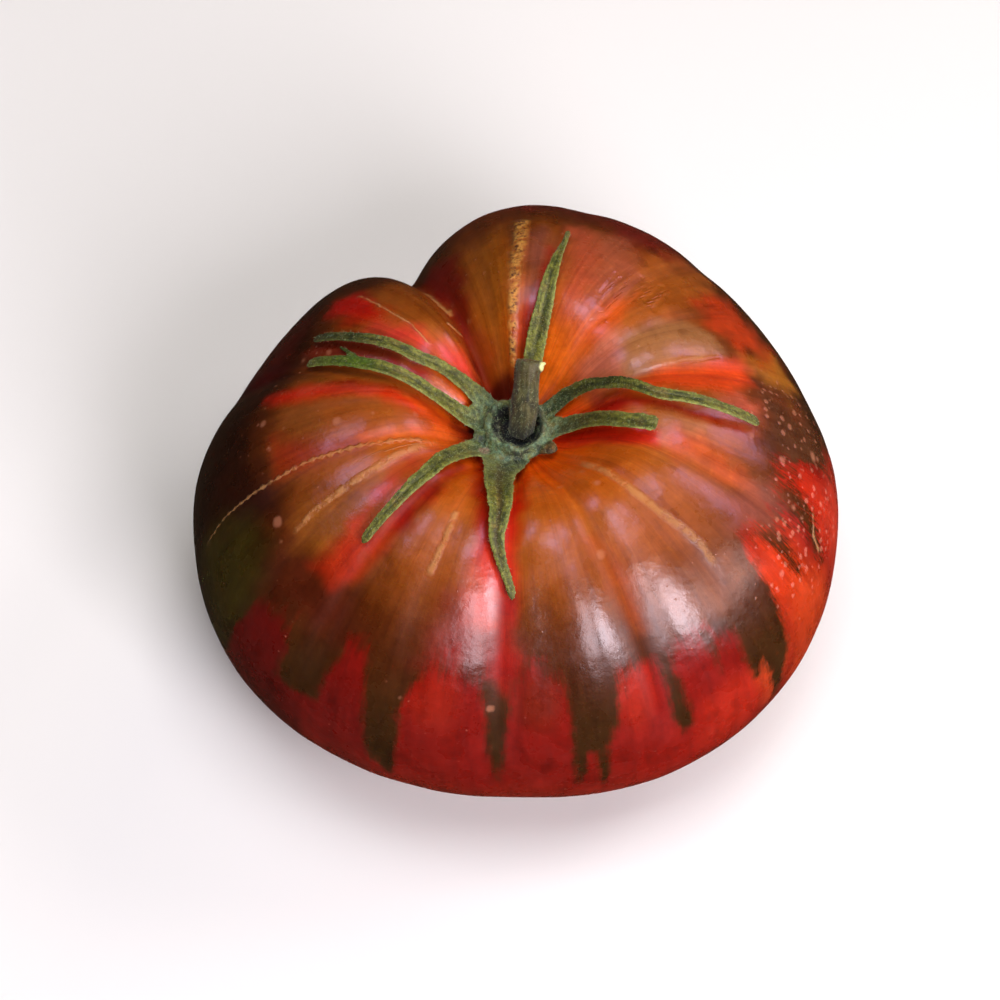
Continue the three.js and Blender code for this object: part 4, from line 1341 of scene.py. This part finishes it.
middles = np.concatenate([middle_line, np.repeat(middle_line[-1:], len(end_rings), 0)])
to_the_right = (whole_stalk - middles[:, None]) @ u_way[0]
left_side = np.append(ease(0.6, 2.0, -to_the_right).ravel(), [0, 0])
paint(stalk, "shaded", left_side * ease(0.15, 0.4, along_stalk) * (1 - ease(0.9, 1.05, along_stalk)))


def green_bark():
    g = Graph("green_bark")
    place = g.node("ShaderNodeNewGeometry").outputs["Position"]
    share = g.read("share")
    lengthwise = g.vector("MULTIPLY", place, (1, 0.7, 0.18))
    fibre = g.noise(lengthwise, 1500, 3.0, 0.6)
    blotch = g.noise(place, 380, 3.0, 0.6)
    colour = g.mix(g.band(fibre, 0.35, 0.65), rgb(38, 40, 18), rgb(90, 88, 50))
    colour = g.mix(g.band(blotch, 0.45, 0.75, 0.0, 0.7), colour, rgb(70, 74, 30))
    # painted shade: near black at the foot of the stalk down in the cup, and darker down its left side
    colour = g.mix(g.math("MULTIPLY", g.band(share, 0.42, 0.05), 0.85), colour, rgb(20, 22, 12))
    colour = g.mix(g.math("MULTIPLY", g.band(share, 0.66, 0.82), 0.65), colour, rgb(72, 62, 22))
    colour = g.mix(g.math("MULTIPLY", g.read("shaded"), 0.7), colour, rgb(44, 30, 20))
    torn = g.band(share, 1.0, 1.06)
    colour = g.mix(torn, colour, g.mix(g.band(blotch, 0.4, 0.62), rgb(76, 50, 20), rgb(104, 96, 46)))
    # the nub near white: partly its pale torn fibre, partly a painted highlight
    colour = g.mix(g.band(g.read("pale_nub_and_highlight"), 0.35, 0.8), colour, rgb(226, 232, 160))
    g.set(g.shader.inputs["Base Color"], colour)
    g.shader.inputs["Roughness"].default_value = 0.62
    g.shader.inputs["Specular IOR Level"].default_value = 0.3
    g.shader.inputs["Sheen Weight"].default_value = 0.1
    height = g.math("MULTIPLY_ADD", fibre, 0.8, g.math("MULTIPLY", blotch, 0.4))
    g.set(g.shader.inputs["Normal"], g.bump(height, 0.00022, 0.9))
    return g.material


stalk.data.materials.append(green_bark())
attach(stalk, "root")
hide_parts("stalk")


# The hairs: short clear hairs all over the sepals, the ring and the stalk, thickest at the base.
# They are what makes the green look frosted. Each is a thin cone rooted in the flesh.
hair_radius = 0.022
hair_spread = 0.55
thirds_of_a_turn = (0, 2.094, 4.189)
draw = np.random.default_rng(7)


def hairs_on(piece, wanted, shortest, longest, near_base):
    """Three root points and a tip for each hair, scattered over a piece by area."""
    mesh = piece.data
    mesh.calc_loop_triangles()
    corners = np.empty(len(mesh.loop_triangles) * 3, int)
    mesh.loop_triangles.foreach_get("vertices", corners)
    corners = corners.reshape(-1, 3)
    points = coordinates(mesh)
    a, b, c = (points[corners[:, k]] for k in range(3))
    cross = np.cross(b - a, c - a)
    area = np.linalg.norm(cross, axis=1)
    facing = cross / np.maximum(area, 1e-12)[:, None]
    middle = (a + b + c) / 3
    weight = area * (0.35 + 0.65 * ease(-0.3, 0.5, facing[:, 2]))
    weight *= 1 + near_base * (1 - ease(5, 12, np.hypot(middle[:, 0], middle[:, 1])))
    chosen = draw.choice(len(corners), wanted, p=weight / weight.sum())
    s, r = draw.random((2, wanted, 1))
    s, r = np.where(s + r > 1, 1 - s, s), np.where(s + r > 1, 1 - r, r)
    root = a[chosen] + s * (b - a)[chosen] + r * (c - a)[chosen]
    way = facing[chosen] + hair_spread * draw.normal(size=(wanted, 3))
    way /= np.linalg.norm(way, axis=1, keepdims=True)
    length = shortest + (longest - shortest) * draw.random((wanted, 1)) ** 2
    first_side = np.cross(way, facing[chosen][:, [1, 2, 0]] + 0.01)
    first_side /= np.linalg.norm(first_side, axis=1, keepdims=True)
    second_side = np.cross(way, first_side)
    ring = [root - 0.08 * way + hair_radius * (math.cos(k) * first_side + math.sin(k) * second_side)
            for k in thirds_of_a_turn]
    tip = root + way * length
    return np.stack([*ring, tip], axis=1).reshape(-1, 3)


hair_points = np.concatenate([
    hairs_on(calyx, 5200, 0.18, 0.6, 1.5),
    hairs_on(stalk, 1000, 0.15, 0.5, 0.0),
])
hair_faces = []
for first in range(0, len(hair_points), 4):
    a, b, c, d = range(first, first + 4)
    hair_faces += [(a, c, b), (a, b, d), (b, c, d), (c, a, d)]
hairs = mesh_of("calyx_hairs", (hair_points + to_frame) * mm, hair_faces)


def clear_hair():
    g = Graph("clear_hair")
    g.shader.inputs["Base Color"].default_value = (*rgb(180, 190, 142), 1)
    g.shader.inputs["Roughness"].default_value = 0.4
    g.shader.inputs["Subsurface Weight"].default_value = 0.3
    g.shader.inputs["Subsurface Scale"].default_value = 0.0002
    return g.material


hairs.data.materials.append(clear_hair())
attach(hairs, "root")
